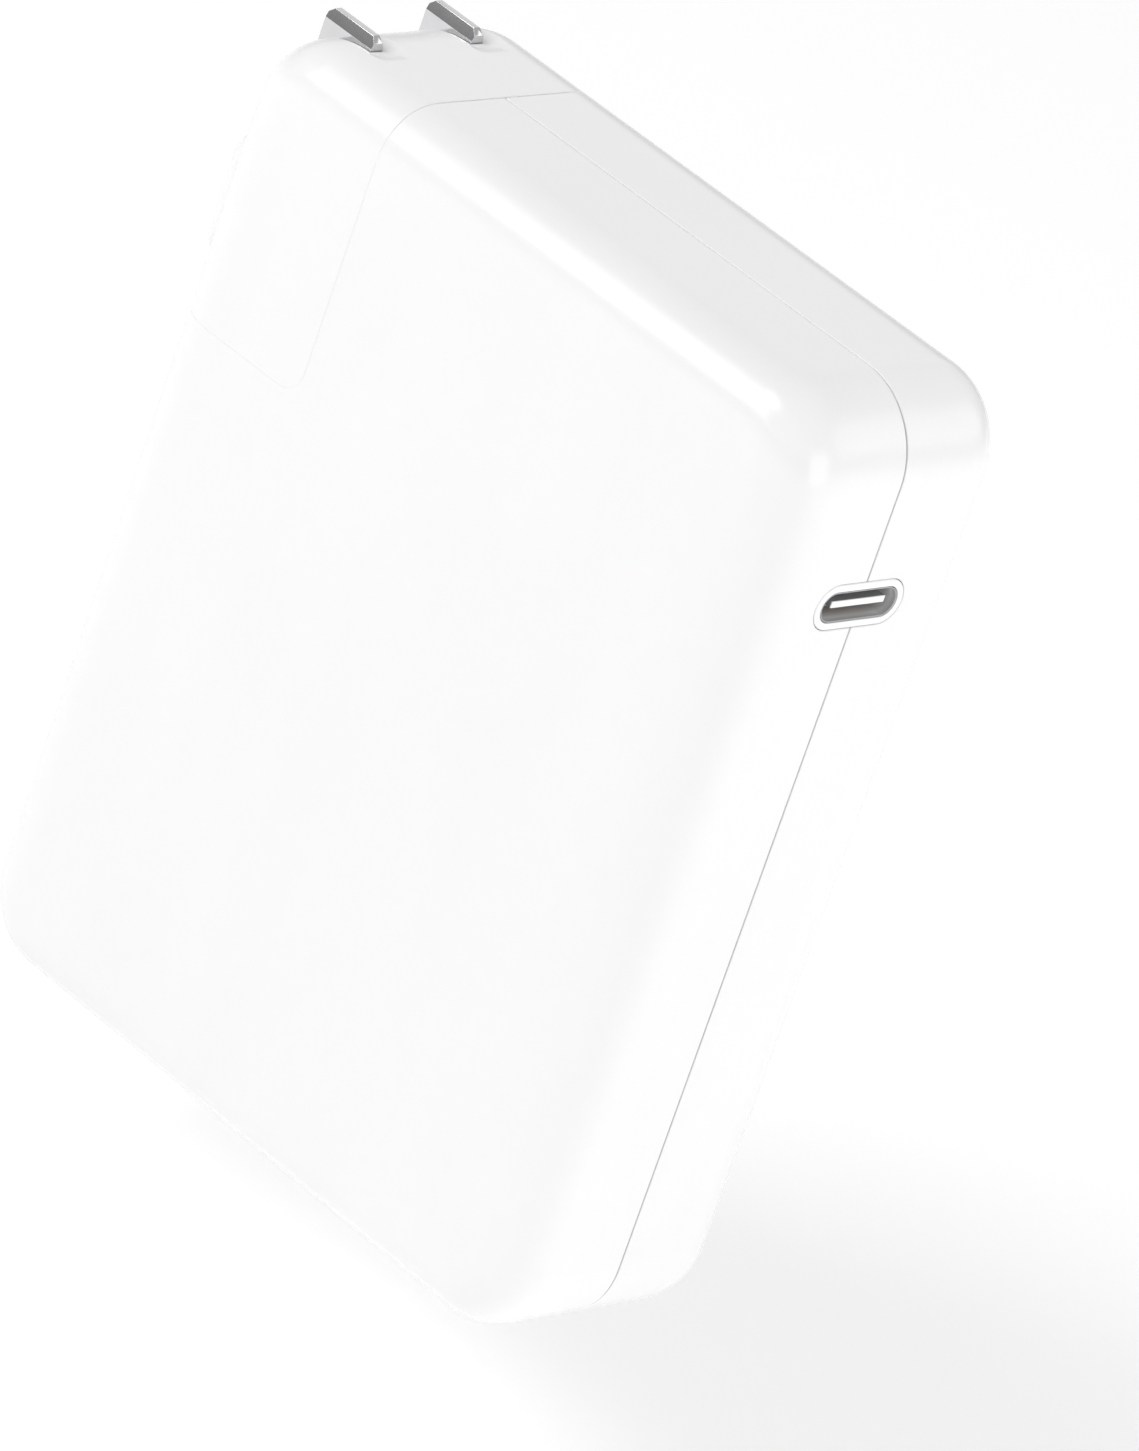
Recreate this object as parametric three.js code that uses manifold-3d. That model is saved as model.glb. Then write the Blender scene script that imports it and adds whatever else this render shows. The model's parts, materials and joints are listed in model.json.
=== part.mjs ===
// A laptop power adapter: a white slab moulded in two half shells, with a slide-off plug head that
// carries two fold-away blades, a USB-C outlet in its narrow side, and the converter inside.
// Millimetres. X runs along the top edge to the outlet side, Y through the thickness from the front
// face (-Y) to the back (+Y), Z up. The origin is the middle of the bottom face, on the seam plane.
import * as THREE from "three";
import { mergeVertices } from "three/addons/utils/BufferGeometryUtils.js";
import Module from "manifold-3d";

const wasm = await Module();
wasm.setup();

// Driving dimensions
const BODY = { width: 75, depth: 27.6, height: 96, corner: 7.9, edge: 5.9, power: 2.3 };
const WALL = 2.2; // shell wall
const SEAM = 0.2; // clear gap between two moulded pieces
const FIT = 0.3; // clear gap between a part and what holds it
const HEAD = { width: 18.2, height: 29.5, corner: 2.5, recessWall: 2, baseWall: 1.5 };
const PIVOT = { x: -33, z: 76.1, hub: 3.7, core: 1.5, axle: 0.9 };
const BLADE = { spacing: 12.7, width: 6.35, thickness: 1.5, length: 20.6, taper: 1.1, bevel: 0.37, nip: 0.55 };
const SCOOP = { radius: 5, depth: 1, width: 4.5 }; // shallow, round the edge of each folded blade
const BOSS = { width: 18.6, height: 13.2, proud: 2.6, corner: 3, round: 1.2 };
const INLET = { x: -25.2, spacing: 8.6, pin: 1.2, sleeve: 1.7, reach: 9 };
const STUD = { z: 75, shank: 2, head: 3 };
const PORT = { z: 76.4, width: 9.6, height: 3.1, bezelWidth: 11, bezelHeight: 4.5, recess: 0.4 };
const TONGUE = { width: 6.69, thickness: 0.7, recess: 0.5, contacts: 12, pitch: 0.5 };
const BOARD = { margin: 4.2, front: 8.2, thickness: 1.6 };

const LEFT = -BODY.width / 2;
const RIGHT = BODY.width / 2;
const FRONT = -BODY.depth / 2;
const HEAD_RIGHT = LEFT + HEAD.width;
const HEAD_BOTTOM = BODY.height - HEAD.height;
const FAR = 60; // past every face of the body
const THROUGH = [-FAR, FAR];
const CORNER_STEPS = 8;
const EDGE_STEPS = 6;

// ---- Solids -------------------------------------------------------------------------------------

function toSolid(geometry) {
  const bare = geometry.clone();
  bare.deleteAttribute("normal");
  bare.deleteAttribute("uv");
  const merged = mergeVertices(bare, 1e-4);
  const vertProperties = new Float32Array(merged.attributes.position.array);
  const triVerts = new Uint32Array(merged.index.array);
  return new wasm.Manifold(new wasm.Mesh({ numProp: 3, vertProperties, triVerts }));
}

function toGeometry(solid) {
  const mesh = solid.getMesh();
  const geometry = new THREE.BufferGeometry();
  geometry.setAttribute("position", new THREE.BufferAttribute(mesh.vertProperties, 3));
  geometry.setIndex(new THREE.BufferAttribute(mesh.triVerts, 1));
  geometry.computeVertexNormals();
  return geometry;
}

const cut = (first, ...rest) =>
  toGeometry(rest.reduce((solid, tool) => solid.subtract(toSolid(tool)), toSolid(first)));
const join = (first, ...rest) =>
  toGeometry(rest.reduce((solid, piece) => solid.add(toSolid(piece)), toSolid(first)));
const common = (first, second) => toGeometry(toSolid(first).intersect(toSolid(second)));

function box([x0, x1], [y0, y1], [z0, z1]) {
  const geometry = new THREE.BoxGeometry(x1 - x0, y1 - y0, z1 - z0);
  return geometry.translate((x0 + x1) / 2, (y0 + y1) / 2, (z0 + z1) / 2);
}

// A round bar along one axis; its centre line is given by the other two coordinates, in XYZ order.
function bar(axis, radius, [from, to], [u, v], sides = 20) {
  const geometry = new THREE.CylinderGeometry(radius, radius, to - from, sides);
  const middle = (from + to) / 2;
  if (axis === "x") return geometry.rotateZ(Math.PI / 2).translate(middle, u, v);
  if (axis === "y") return geometry.translate(u, middle, v);
  return geometry.rotateX(Math.PI / 2).translate(u, v, middle);
}

// A turned piece along one axis, from a profile of [radius, place along the axis].
function turned(axis, profile, [u, v], sides = 20) {
  const points = profile.map(([radius, along]) => new THREE.Vector2(radius, along));
  const geometry = new THREE.LatheGeometry(points, sides);
  if (axis === "x") return geometry.rotateZ(-Math.PI / 2).translate(0, u, v);
  return geometry.rotateX(Math.PI / 2).translate(u, v, 0);
}

const tubeProfile = (inner, outer, from, to) =>
  [[inner, from], [outer, from], [outer, to], [inner, to], [inner, from]];

function roundedRectangle(width, height, corner, [cx, cy] = [0, 0]) {
  const right = cx + width / 2 - corner;
  const left = cx - width / 2 + corner;
  const top = cy + height / 2 - corner;
  const bottom = cy - height / 2 + corner;
  const shape = new THREE.Shape();
  shape.absarc(right, bottom, corner, -Math.PI / 2, 0);
  shape.absarc(right, top, corner, 0, Math.PI / 2);
  shape.absarc(left, top, corner, Math.PI / 2, Math.PI);
  shape.absarc(left, bottom, corner, Math.PI, 1.5 * Math.PI);
  return shape;
}

const polygon = (points) => new THREE.Shape(points.map(([u, v]) => new THREE.Vector2(u, v)));

function extrude(shape, length, options) {
  return new THREE.ExtrudeGeometry(shape, { depth: length, bevelEnabled: false, curveSegments: 6, ...options });
}

// A shape drawn in X and Z, carried through Y.
const throughY = (shape, [from, to], options) =>
  extrude(shape, to - from, options).rotateX(Math.PI / 2).translate(0, to, 0);

// A shape drawn in Y and Z, carried through X.
function throughX(shape, [from, to], options) {
  const turn = new THREE.Matrix4().makeBasis(
    new THREE.Vector3(0, 1, 0), new THREE.Vector3(0, 0, 1), new THREE.Vector3(1, 0, 0));
  return extrude(shape, to - from, options).applyMatrix4(turn).translate(from, 0, 0);
}

// A closed skin through rings of equally many [x, z] points, flat at both ends.
function loft(rings) {
  const positions = [];
  const index = [];
  const count = rings[0].points.length;
  rings.forEach(({ y, points }) => points.forEach(([x, z]) => positions.push(x, y, z)));
  const last = (rings.length - 1) * count;
  const middle = rings.length * count;
  positions.push(0, rings[0].y, BODY.height / 2, 0, rings.at(-1).y, BODY.height / 2);
  for (let i = 0; i < count; i++) {
    const next = (i + 1) % count;
    index.push(middle, i, next, middle + 1, last + next, last + i);
    for (let start = 0; start < last; start += count) {
      const [a, b, c, d] = [start + i, start + next, start + count + i, start + count + next];
      index.push(a, c, b, b, c, d);
    }
  }
  const geometry = new THREE.BufferGeometry();
  geometry.setAttribute("position", new THREE.Float32BufferAttribute(positions, 3));
  geometry.setIndex(index);
  return geometry;
}

// ---- The slab's moulded form --------------------------------------------------------------------

// The slab's outline at one depth, pulled in all round by inset.
function slabOutline(inset) {
  const corner = Math.max(BODY.corner - inset, 0.8);
  const across = BODY.width / 2 - inset - corner;
  const up = BODY.height / 2 - inset - corner;
  const quarters = [[across, up], [-across, up], [-across, -up], [across, -up]];
  return quarters.flatMap(([x, z], quarter) =>
    Array.from({ length: CORNER_STEPS + 1 }, (_, i) => {
      const angle = (quarter + i / CORNER_STEPS) * Math.PI / 2;
      return [x + corner * Math.cos(angle), BODY.height / 2 + z + corner * Math.sin(angle)];
    }));
}

// The rounded edge from the front face to the side walls, as depth and inset, for a skin that lies
// inset inside the outer one.
function edgeRings(inset) {
  const edge = BODY.edge - inset;
  return Array.from({ length: EDGE_STEPS + 1 }, (_, i) => {
    const angle = (1 - i / EDGE_STEPS) * Math.PI / 2;
    const across = Math.max(Math.cos(angle), 0) ** (2 / BODY.power);
    const out = Math.sin(angle) ** (2 / BODY.power);
    return { y: FRONT + inset + edge * (1 - out), inset: inset + edge * (1 - across) };
  });
}

// The whole slab, or the stretch of it on one side of the seam (side -1 or 1), ending at y = end.
function slab(inset, side = 0, end = 0) {
  const front = edgeRings(inset);
  const back = front.map((ring) => ({ y: -ring.y, inset: ring.inset })).reverse();
  const stop = { y: end, inset };
  const rings = { "-1": [...front, stop], 0: [...front, ...back], 1: [stop, ...back] }[side];
  return loft(rings.map((ring) => ({ y: ring.y, points: slabOutline(ring.inset) })));
}

// The plug head's corner of the slab, drawn in X and Z, made larger by grow.
function headCorner(grow) {
  const corner = HEAD.corner + grow;
  const right = HEAD_RIGHT + grow;
  const bottom = HEAD_BOTTOM - grow;
  const shape = new THREE.Shape();
  shape.moveTo(-2 * FAR, bottom);
  shape.lineTo(right - corner, bottom);
  shape.absarc(right - corner, bottom + corner, corner, -Math.PI / 2, 0);
  shape.lineTo(right, 2 * FAR);
  shape.lineTo(-2 * FAR, 2 * FAR);
  return throughY(shape, THROUGH);
}

const portShape = (width, height) => roundedRectangle(width, height, height / 2 - 0.01, [0, PORT.z]);
const portBar = (width, height, span) => throughX(portShape(width, height), span, { curveSegments: 5 });
const pinPlaces = [-INLET.spacing / 2, INLET.spacing / 2];
const bladePlaces = [-BLADE.spacing / 2, BLADE.spacing / 2];
const around = (middle, width) => [middle - width / 2, middle + width / 2];

// ---- Body shells and outlet ---------------------------------------------------------------------

const INLET_NOSE = { x: around(INLET.x, 4.4), y: around(0, 13.2) };
const widen = ([from, to], by) => [from - by, to + by];

function halfShell(side) {
  const skin = cut(slab(0, side, side * SEAM / 2), headCorner(SEAM / 2));
  const hollow = cut(slab(WALL, side, -side), headCorner(SEAM / 2 + HEAD.recessWall));
  const outlet = portBar(PORT.bezelWidth + SEAM, PORT.bezelHeight + SEAM, [RIGHT - 4, RIGHT + 1]);
  const inlet = box(widen(INLET_NOSE.x, SEAM), widen(INLET_NOSE.y, SEAM), [HEAD_BOTTOM - 3, HEAD_BOTTOM + 1]);
  const studHole = bar("x", STUD.shank + SEAM, [HEAD_RIGHT - 1, HEAD_RIGHT + 4], [0, STUD.z], 16);
  return cut(skin, hollow, outlet, inlet, studHole);
}

function portBezel() {
  const wallInside = RIGHT - WALL - SEAM;
  const sleeve = portBar(PORT.bezelWidth, PORT.bezelHeight, [wallInside - 1, RIGHT]);
  const flange = portBar(PORT.bezelWidth + 2.4, PORT.bezelHeight + 2.4, [wallInside - 1.5, wallInside]);
  return cut(join(sleeve, flange), portBar(PORT.width, PORT.height, [RIGHT - 6, RIGHT + 1]));
}

const RECEPTACLE = { back: 29.5, block: 31.5, wall: 0.18 };

function receptacleShell() {
  const [width, height] = [PORT.width - 0.2, PORT.height - 0.15];
  const inner = [width - 2 * RECEPTACLE.wall, height - 2 * RECEPTACLE.wall];
  return cut(portBar(width, height, [RECEPTACLE.back, RIGHT - PORT.recess]),
    portBar(...inner, [RECEPTACLE.back - 1, RIGHT]));
}

function receptacleTongue() {
  const block = portBar(PORT.width - 0.8, PORT.height - 0.7, [RECEPTACLE.back + 0.2, RECEPTACLE.block]);
  const tongue = box([RECEPTACLE.block - 0.5, RIGHT - TONGUE.recess], around(0, TONGUE.width),
    around(PORT.z, TONGUE.thickness));
  return join(block, tongue);
}

// Contacts along one face of the tongue, held together by a carrier bar at the back.
function contactRow(side) {
  const skinZ = PORT.z + side * (TONGUE.thickness / 2 + 0.1);
  const [front, back] = [RIGHT - TONGUE.recess - 0.8, RECEPTACLE.block + FIT];
  const row = Array.from({ length: TONGUE.contacts }, (_, i) =>
    box([back, front], around((i - (TONGUE.contacts - 1) / 2) * TONGUE.pitch, 0.28), around(skinZ, 0.1)));
  return join(box([back, back + 0.4], around(0, 5.8), around(skinZ, 0.1)), ...row);
}

// ---- Plug head ----------------------------------------------------------------------------------

const CAVITY = { right: HEAD_RIGHT + 1, left: -27, top: 93.8, depth: 22.8, shelf: PIVOT.z - 5.5 };
const HUB_ROOM = 21.8; // clear length for the blade carrier
const AXLE_ROOM = 25.2; // length of the axle's bore, blind in both side walls
const BASE_CLEAR = { side: 0.4, top: 0.6 }; // from the head's inner walls to its cavity
const KEYHOLE = { top: STUD.z + 2.3, slack: 0.3, deep: 4.1, wide: 2, low: 60, mouth: 70 };

function headCover() {
  const bossShape = roundedRectangle(BOSS.width, BOSS.height, BOSS.corner, [0, PIVOT.z]);
  const boss = throughX(bossShape, [LEFT - BOSS.proud + BOSS.round, LEFT + 1.5], {
    bevelEnabled: true, bevelThickness: BOSS.round, bevelSize: BOSS.round, bevelOffset: -BOSS.round,
    bevelSegments: 3, curveSegments: 4,
  });
  const contactBay = box([CAVITY.left, CAVITY.right], around(0, CAVITY.depth), [HEAD_BOTTOM - 1, CAVITY.top]);
  const lowerBay = box([LEFT + WALL, CAVITY.left + 0.1], around(0, CAVITY.depth - 0.4),
    [HEAD_BOTTOM - 1, CAVITY.shelf]);
  const hubBay = join(bar("y", PIVOT.hub + FIT, around(0, HUB_ROOM), [PIVOT.x, PIVOT.z]),
    box([PIVOT.x, CAVITY.left + 0.1], around(0, HUB_ROOM), around(PIVOT.z, 2 * (PIVOT.hub + FIT))));
  const reach = BLADE.width / 2 + FIT;
  const slots = bladePlaces.map((y) =>
    box([-FAR, PIVOT.x + reach], around(y, BLADE.thickness + 2 * FIT), [PIVOT.z - reach, 2 * FAR]));
  const scoopPlace = [PIVOT.x + reach, BODY.height + SCOOP.radius - SCOOP.depth];
  const scoops = bladePlaces.map((y) => bar("y", SCOOP.radius, around(y, SCOOP.width), scoopPlace, 48));
  const axleBore = bar("y", PIVOT.axle + 0.2, around(0, AXLE_ROOM), [PIVOT.x, PIVOT.z], 16);
  const corner = common(slab(0), headCorner(-SEAM / 2));
  return cut(join(corner, boss), contactBay, lowerBay, hubBay, ...slots, ...scoops, axleBore);
}

// The two inner walls of the head, which close its open sides and slide along the body's recess.
function headBase() {
  const walls = cut(headCorner(-SEAM / 2), headCorner(-SEAM / 2 - HEAD.baseWall));
  const room = box([LEFT + WALL + SEAM, FAR], around(0, CAVITY.depth - 2 * BASE_CLEAR.side),
    [0, CAVITY.top - BASE_CLEAR.top]);
  const pinHoles = pinPlaces.map((y) =>
    bar("z", INLET.pin + 0.4, [KEYHOLE.low, KEYHOLE.mouth], [INLET.x, y], 16));
  const studWay = box([HEAD_RIGHT - KEYHOLE.wide, HEAD_RIGHT + 1],
    around(0, 2 * (STUD.shank + KEYHOLE.slack)), [KEYHOLE.low, KEYHOLE.top]);
  const studMouth = box([HEAD_RIGHT - KEYHOLE.deep, HEAD_RIGHT + 1],
    around(0, 2 * (STUD.head + KEYHOLE.slack)), [KEYHOLE.low, KEYHOLE.mouth]);
  return cut(common(walls, room), ...pinHoles, studWay, studMouth);
}

function studPlate() {
  const top = KEYHOLE.top;
  const slot = STUD.shank + KEYHOLE.slack;
  const outline = polygon([[-7, 68.6], [-slot, 68.6], [-slot, top], [slot, top], [slot, 68.6], [7, 68.6],
    [7, 88], [-7, 88]]);
  const face = HEAD_RIGHT - SEAM / 2 - HEAD.baseWall - SEAM;
  return throughX(outline, [face - 0.6, face]);
}

// A flat blade folded straight up: a half-round root on the pivot and a tip tapered on all sides.
function blade(y) {
  const [half, thin] = [BLADE.width / 2, BLADE.thickness / 2];
  const tip = PIVOT.z + BLADE.length;
  const side = new THREE.Shape();
  side.absarc(PIVOT.x, PIVOT.z, half, -Math.PI, 0);
  side.lineTo(PIVOT.x + half, tip - BLADE.nip);
  side.lineTo(PIVOT.x + half - BLADE.nip, tip);
  side.lineTo(PIVOT.x - half + BLADE.nip, tip);
  side.lineTo(PIVOT.x - half, tip - BLADE.nip);
  const edge = polygon([[y - thin, 0], [y + thin, 0], [y + thin, tip - BLADE.taper],
    [y + thin - BLADE.bevel, tip], [y - thin + BLADE.bevel, tip], [y - thin, tip - BLADE.taper]]);
  const eye = bar("y", PIVOT.core + 0.2, THROUGH, [PIVOT.x, PIVOT.z], 16);
  return cut(common(throughY(side, around(y, 2)), throughX(edge, THROUGH)), eye);
}

// The moulded hub that both blades turn on.
function bladeCarrier() {
  const slot = BLADE.thickness / 2 + 0.1;
  const inner = BLADE.spacing / 2 - slot;
  const outer = BLADE.spacing / 2 + slot;
  const place = [PIVOT.x, PIVOT.z];
  const drums = [[-10.6, -outer], [-inner, inner], [outer, 10.6]].map((span) => bar("y", PIVOT.hub, span, place));
  const core = bar("y", PIVOT.core, around(0, 21.2), place, 16);
  return cut(join(core, ...drums), bar("y", PIVOT.axle + 0.2, THROUGH, place, 16));
}

const detentSpring = () => box([PIVOT.x + 4.1, PIVOT.x + 4.5], around(0, 8), around(PIVOT.z, 7.2));

// A leaf from the blade's root, over the insulator, down to the top of the socket sleeve.
function contactSpring(y) {
  const [root, sleeve, roof, thick] = [PIVOT.x + BLADE.width / 2 + FIT, INLET.x, 78.6, 0.4];
  return throughY(polygon([[root, 72.8], [root + thick, 72.8], [root + thick, roof], [sleeve, roof],
    [sleeve, 76.3], [sleeve + thick, 76.3], [sleeve + thick, roof + thick], [root, roof + thick]]),
  around(y, 1.2));
}

const SLEEVE = [68.5, 76];

function socketInsulator() {
  const bores = pinPlaces.map((y) => bar("z", INLET.sleeve + 0.15, [60, 80], [INLET.x, y], 16));
  return cut(box([-26.9, -23.2], around(0, 13.2), SLEEVE), ...bores);
}

const socketSleeve = (y) =>
  turned("z", tubeProfile(INLET.pin + 0.15, INLET.sleeve, ...SLEEVE), [INLET.x, y], 16);

// ---- Inlet pins and the lock stud in the body ---------------------------------------------------

function inletHousing() {
  const block = box(around(INLET.x, 8), around(0, 15), [52, HEAD_BOTTOM - 2.4]);
  const nose = box(INLET_NOSE.x, INLET_NOSE.y, [HEAD_BOTTOM - 2.5, HEAD_BOTTOM - SEAM / 2]);
  const bores = pinPlaces.map((y) => bar("z", INLET.pin + 0.15, [50, 70], [INLET.x, y], 16));
  return cut(join(block, nose), ...bores);
}

function inletPin(y) {
  const tip = HEAD_BOTTOM + INLET.reach;
  const profile = [[0, 49], [INLET.pin, 49], [INLET.pin, tip - 1], [INLET.pin * 0.75, tip - 0.3], [0, tip]];
  return turned("z", profile, [INLET.x, y], 16);
}

// A lead from the foot of a pin across to the board; the far one steps aside to pass the near one.
function inletLead(y) {
  const aside = INLET.x + (y < 0 ? -2.6 : 0);
  const path = new THREE.CatmullRomCurve3([[INLET.x, y, 48.7], [INLET.x, y, 48.2], [aside, y + 1.8, 47.4],
    [aside, 6.2, 47.4], [aside, 7.8, 47.4]].map((point) => new THREE.Vector3(...point)));
  const round = new THREE.Shape().absarc(0, 0, 0.55, 0, 2 * Math.PI);
  return new THREE.ExtrudeGeometry(round, { steps: 10, curveSegments: 4, extrudePath: path });
}

const WALL_INSIDE = HEAD_RIGHT + SEAM / 2 + HEAD.recessWall;

function lockStud() {
  const [head, under, end] = [-23, -21.9, -14.6];
  const profile = [[0, end], [STUD.shank, end], [STUD.shank, under], [STUD.head, under], [STUD.head, head + 0.3],
    [STUD.head - 0.3, head], [0, head]];
  return turned("x", profile.reverse(), [0, STUD.z], 16);
}

const studNut = () =>
  cut(bar("x", 3.6, [WALL_INSIDE + 0.2, WALL_INSIDE + 2.2], [0, STUD.z], 6),
    bar("x", STUD.shank + 0.1, THROUGH, [0, STUD.z], 16));

const groundStrap = () => box([-14.4, -14], [-3, 7.9], around(STUD.z, 4));

// ---- Boards, sheets and electronics -------------------------------------------------------------

// A flat sheet of the body's inner outline, cut clear of the plug head's recess.
function sheet(margin, span) {
  const outline = roundedRectangle(BODY.width - 2 * margin, BODY.height - 2 * margin, 3.5, [0, BODY.height / 2]);
  return cut(throughY(outline, span, { curveSegments: 4 }), headCorner(margin - 0.7));
}

function ring(inner, outer, thickness, [x, y, z]) {
  const profile = tubeProfile(inner, outer, y - thickness / 2, y + thickness / 2);
  return new THREE.LatheGeometry(profile.map(([r, s]) => new THREE.Vector2(r, s)), 24).translate(x, 0, z);
}

const CHOKE = { place: [-25, 1.5, 18.5], inner: 4.2, outer: 7.4, thickness: 7 };

// One half of the common-mode winding: a thicker ring, cut to its share and cleared of the core.
function chokeWinding(side) {
  const [x, , z] = CHOKE.place;
  const coil = ring(CHOKE.inner - 1.2, CHOKE.outer + 1.2, CHOKE.thickness + 2.4, CHOKE.place);
  const core = ring(CHOKE.inner - 0.1, CHOKE.outer + 0.1, CHOKE.thickness + 0.2, CHOKE.place);
  const half = box([x - 10, x + 10], THROUGH, side > 0 ? [z + 1.5, z + 12] : [z - 12, z - 1.5]);
  return common(cut(coil, core), half);
}

// An E-shaped pair of ferrites around a bobbin: a frame with a middle leg, and the coil on that leg.
function ferriteFrame([x0, x1], [y0, y1], [z0, z1], leg, arm) {
  const middle = (x0 + x1) / 2;
  const windows = [[x0 + arm, middle - leg / 2], [middle + leg / 2, x1 - arm]];
  return cut(box([x0, x1], [y0, y1], [z0, z1]), ...windows.map((span) => box(span, THROUGH, [z0 + arm, z1 - arm])));
}

function ferriteCoil([x0, x1], [y0, y1], [z0, z1], leg, arm, bulge) {
  const middle = (x0 + x1) / 2;
  const outer = roundedRectangle(x1 - x0 - 2 * arm - 0.8, y1 - y0 + 2 * bulge, 3, [middle, (y0 + y1) / 2]);
  const coil = extrude(outer, z1 - z0 - 2 * arm - 0.8, { curveSegments: 4 }).translate(0, 0, z0 + arm + 0.4);
  return cut(coil, box(around(middle, leg + 0.6), [y0 - FIT, y1 + FIT], THROUGH.map((v) => v * 2)));
}

function can(axis, radius, [from, to], place) {
  const [low, high] = [from + 0.6, to - 0.6];
  const profile = [[0, from], [radius - 0.6, from], [radius, low], [radius, high], [radius - 0.6, to], [0, to]];
  if (axis === "z") return turned("z", profile, place, 24);
  const points = profile.map(([r, s]) => new THREE.Vector2(r, s));
  return new THREE.LatheGeometry(points, 24).translate(place[0], 0, place[1]);
}

const cased = ([x0, x1], span, [z0, z1], corner) =>
  throughY(roundedRectangle(x1 - x0, z1 - z0, corner, [(x0 + x1) / 2, (z0 + z1) / 2]), span, { curveSegments: 3 });

const TRANSFORMER = [[-12, 14], [-4.6, 4], [66, 90], 6, 3.5];
const PFC = [[17.6, 34], [-4.6, 4], [7, 29], 5, 3];

// ---- Materials and the finished group -----------------------------------------------------------

const finish = (color, roughness, metalness = 0) => ({ color, roughness, metalness });
const WHITE = finish(0xf6f6f4, 0.32);
const METAL = finish(0xb8b9bb, 0.28, 1);
const STEEL = finish(0xa7a9ac, 0.35, 1);
const COPPER = finish(0xc98a5a, 0.35, 1);
const BLACK = finish(0x1c1c1e, 0.5);
const BOARD_GREEN = finish(0x1f5b3a, 0.45);
const FERRITE = finish(0x3c3b3d, 0.7);
const TAPE = finish(0xe3b93a, 0.5);

const adapter = new THREE.Group();

function add(name, geometry, { color, roughness, metalness }) {
  const mesh = new THREE.Mesh(geometry, new THREE.MeshStandardMaterial({ color, roughness, metalness }));
  mesh.name = name;
  adapter.add(mesh);
}

add("front_shell", halfShell(-1), WHITE);
add("rear_shell", halfShell(1), WHITE);
add("port_bezel", portBezel(), WHITE);
add("usb_c_shell", receptacleShell(), METAL);
add("usb_c_tongue", receptacleTongue(), finish(0xe9e9e7, 0.4));
add("usb_c_contacts_upper", contactRow(1), finish(0xd8b45a, 0.3, 1));
add("usb_c_contacts_lower", contactRow(-1), finish(0xd8b45a, 0.3, 1));
add("usb_c_board", box([22, 33.2], [-6.8, 7.6], [PORT.z - 3, PORT.z - 2]), BOARD_GREEN);
add("port_controller", box([25, 29.4], around(0, 4.4), [PORT.z - 4.2, PORT.z - 3.2]), BLACK);

add("head_cover", headCover(), WHITE);
add("head_base", headBase(), WHITE);
add("stud_plate", studPlate(), STEEL);
add("hinge_axle", bar("y", PIVOT.axle, around(0, 24.8), [PIVOT.x, PIVOT.z], 16), STEEL);
add("blade_carrier", bladeCarrier(), WHITE);
add("detent_spring", detentSpring(), STEEL);
add("socket_insulator", socketInsulator(), BLACK);
["neutral", "live"].forEach((pole, i) => {
  add(`blade_${pole}`, blade(bladePlaces[i]), METAL);
  add(`contact_spring_${pole}`, contactSpring(bladePlaces[i]), COPPER);
  add(`socket_sleeve_${pole}`, socketSleeve(pinPlaces[i]), COPPER);
  add(`inlet_pin_${pole}`, inletPin(pinPlaces[i]), METAL);
  add(`inlet_lead_${pole}`, inletLead(pinPlaces[i]), finish([0x2b5fa8, 0x7a4a2a][i], 0.5));
});
add("inlet_housing", inletHousing(), BLACK);
add("lock_stud", lockStud(), METAL);
add("stud_nut", studNut(), STEEL);
add("ground_strap", groundStrap(), COPPER);

add("main_board", sheet(BOARD.margin, [BOARD.front, BOARD.front + BOARD.thickness]), BOARD_GREEN);
add("rear_insulation", sheet(3.6, [10.2, 10.5]), BLACK);
add("rear_heat_spreader", sheet(4.2, [10.8, 11.2]), METAL);
add("front_insulation", sheet(3.6, [-10.3, -10]), BLACK);
add("front_heat_spreader", sheet(4.2, [-11.1, -10.7]), METAL);
add("transformer_core", ferriteFrame(...TRANSFORMER), FERRITE);
add("transformer_winding", ferriteCoil(...TRANSFORMER, 3.6), TAPE);
add("boost_choke_core", ferriteFrame(...PFC), FERRITE);
add("boost_choke_winding", ferriteCoil(...PFC, 3), TAPE);
add("filter_choke_core", ring(CHOKE.inner, CHOKE.outer, CHOKE.thickness, CHOKE.place), FERRITE);
add("filter_choke_winding_upper", chokeWinding(1), COPPER);
add("filter_choke_winding_lower", chokeWinding(-1), COPPER);
add("filter_capacitor", cased([-29, -18.5], [-7.6, 7.8], [30.5, 45.5], 1.2), finish(0xd9b23c, 0.5));
add("safety_capacitor", bar("x", 4, [15, 18], [3.4, 59]), finish(0x2f6fae, 0.5));
add("surge_disc", bar("x", 4.2, [-34.4, -30.9], [3, 56.5]), finish(0x2456a6, 0.5));
add("fuse", bar("z", 2.2, [33, 45], [-32, 5.2], 16), finish(0xd9d4c8, 0.4));
add("bridge_rectifier", cased([-14.5, 1], [4.2, 7.9], [44, 58.5], 0.8), BLACK);
[-7.6, 8.4].forEach((x, i) => add(`bulk_capacitor_${i + 1}`, can("z", 7.6, [6.5, 41], [x, 0]), finish(0x20242e, 0.4)));
[[22.6, 37], [31, 37], [22.6, 46.4]].forEach(([x, z], i) =>
  add(`output_capacitor_${i + 1}`, can("y", 3.9, [-6.5, 7.9], [x, z]), finish(0x2a2d36, 0.4)));
[46, 55.4].forEach((z, i) => add(`power_switch_${i + 1}`, box([4.5, 12.5], [6.3, 7.9], [z, z + 7]), BLACK));
add("rectifier_board", box([17.3, 18.5], [-8, 7.9], [66, 88]), BOARD_GREEN);
[-5.6, 0.6].forEach((y, i) => add(`output_rectifier_${i + 1}`, box([18.7, 20], [y, y + 5], [79, 85]), BLACK));

export default adapter;
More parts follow.
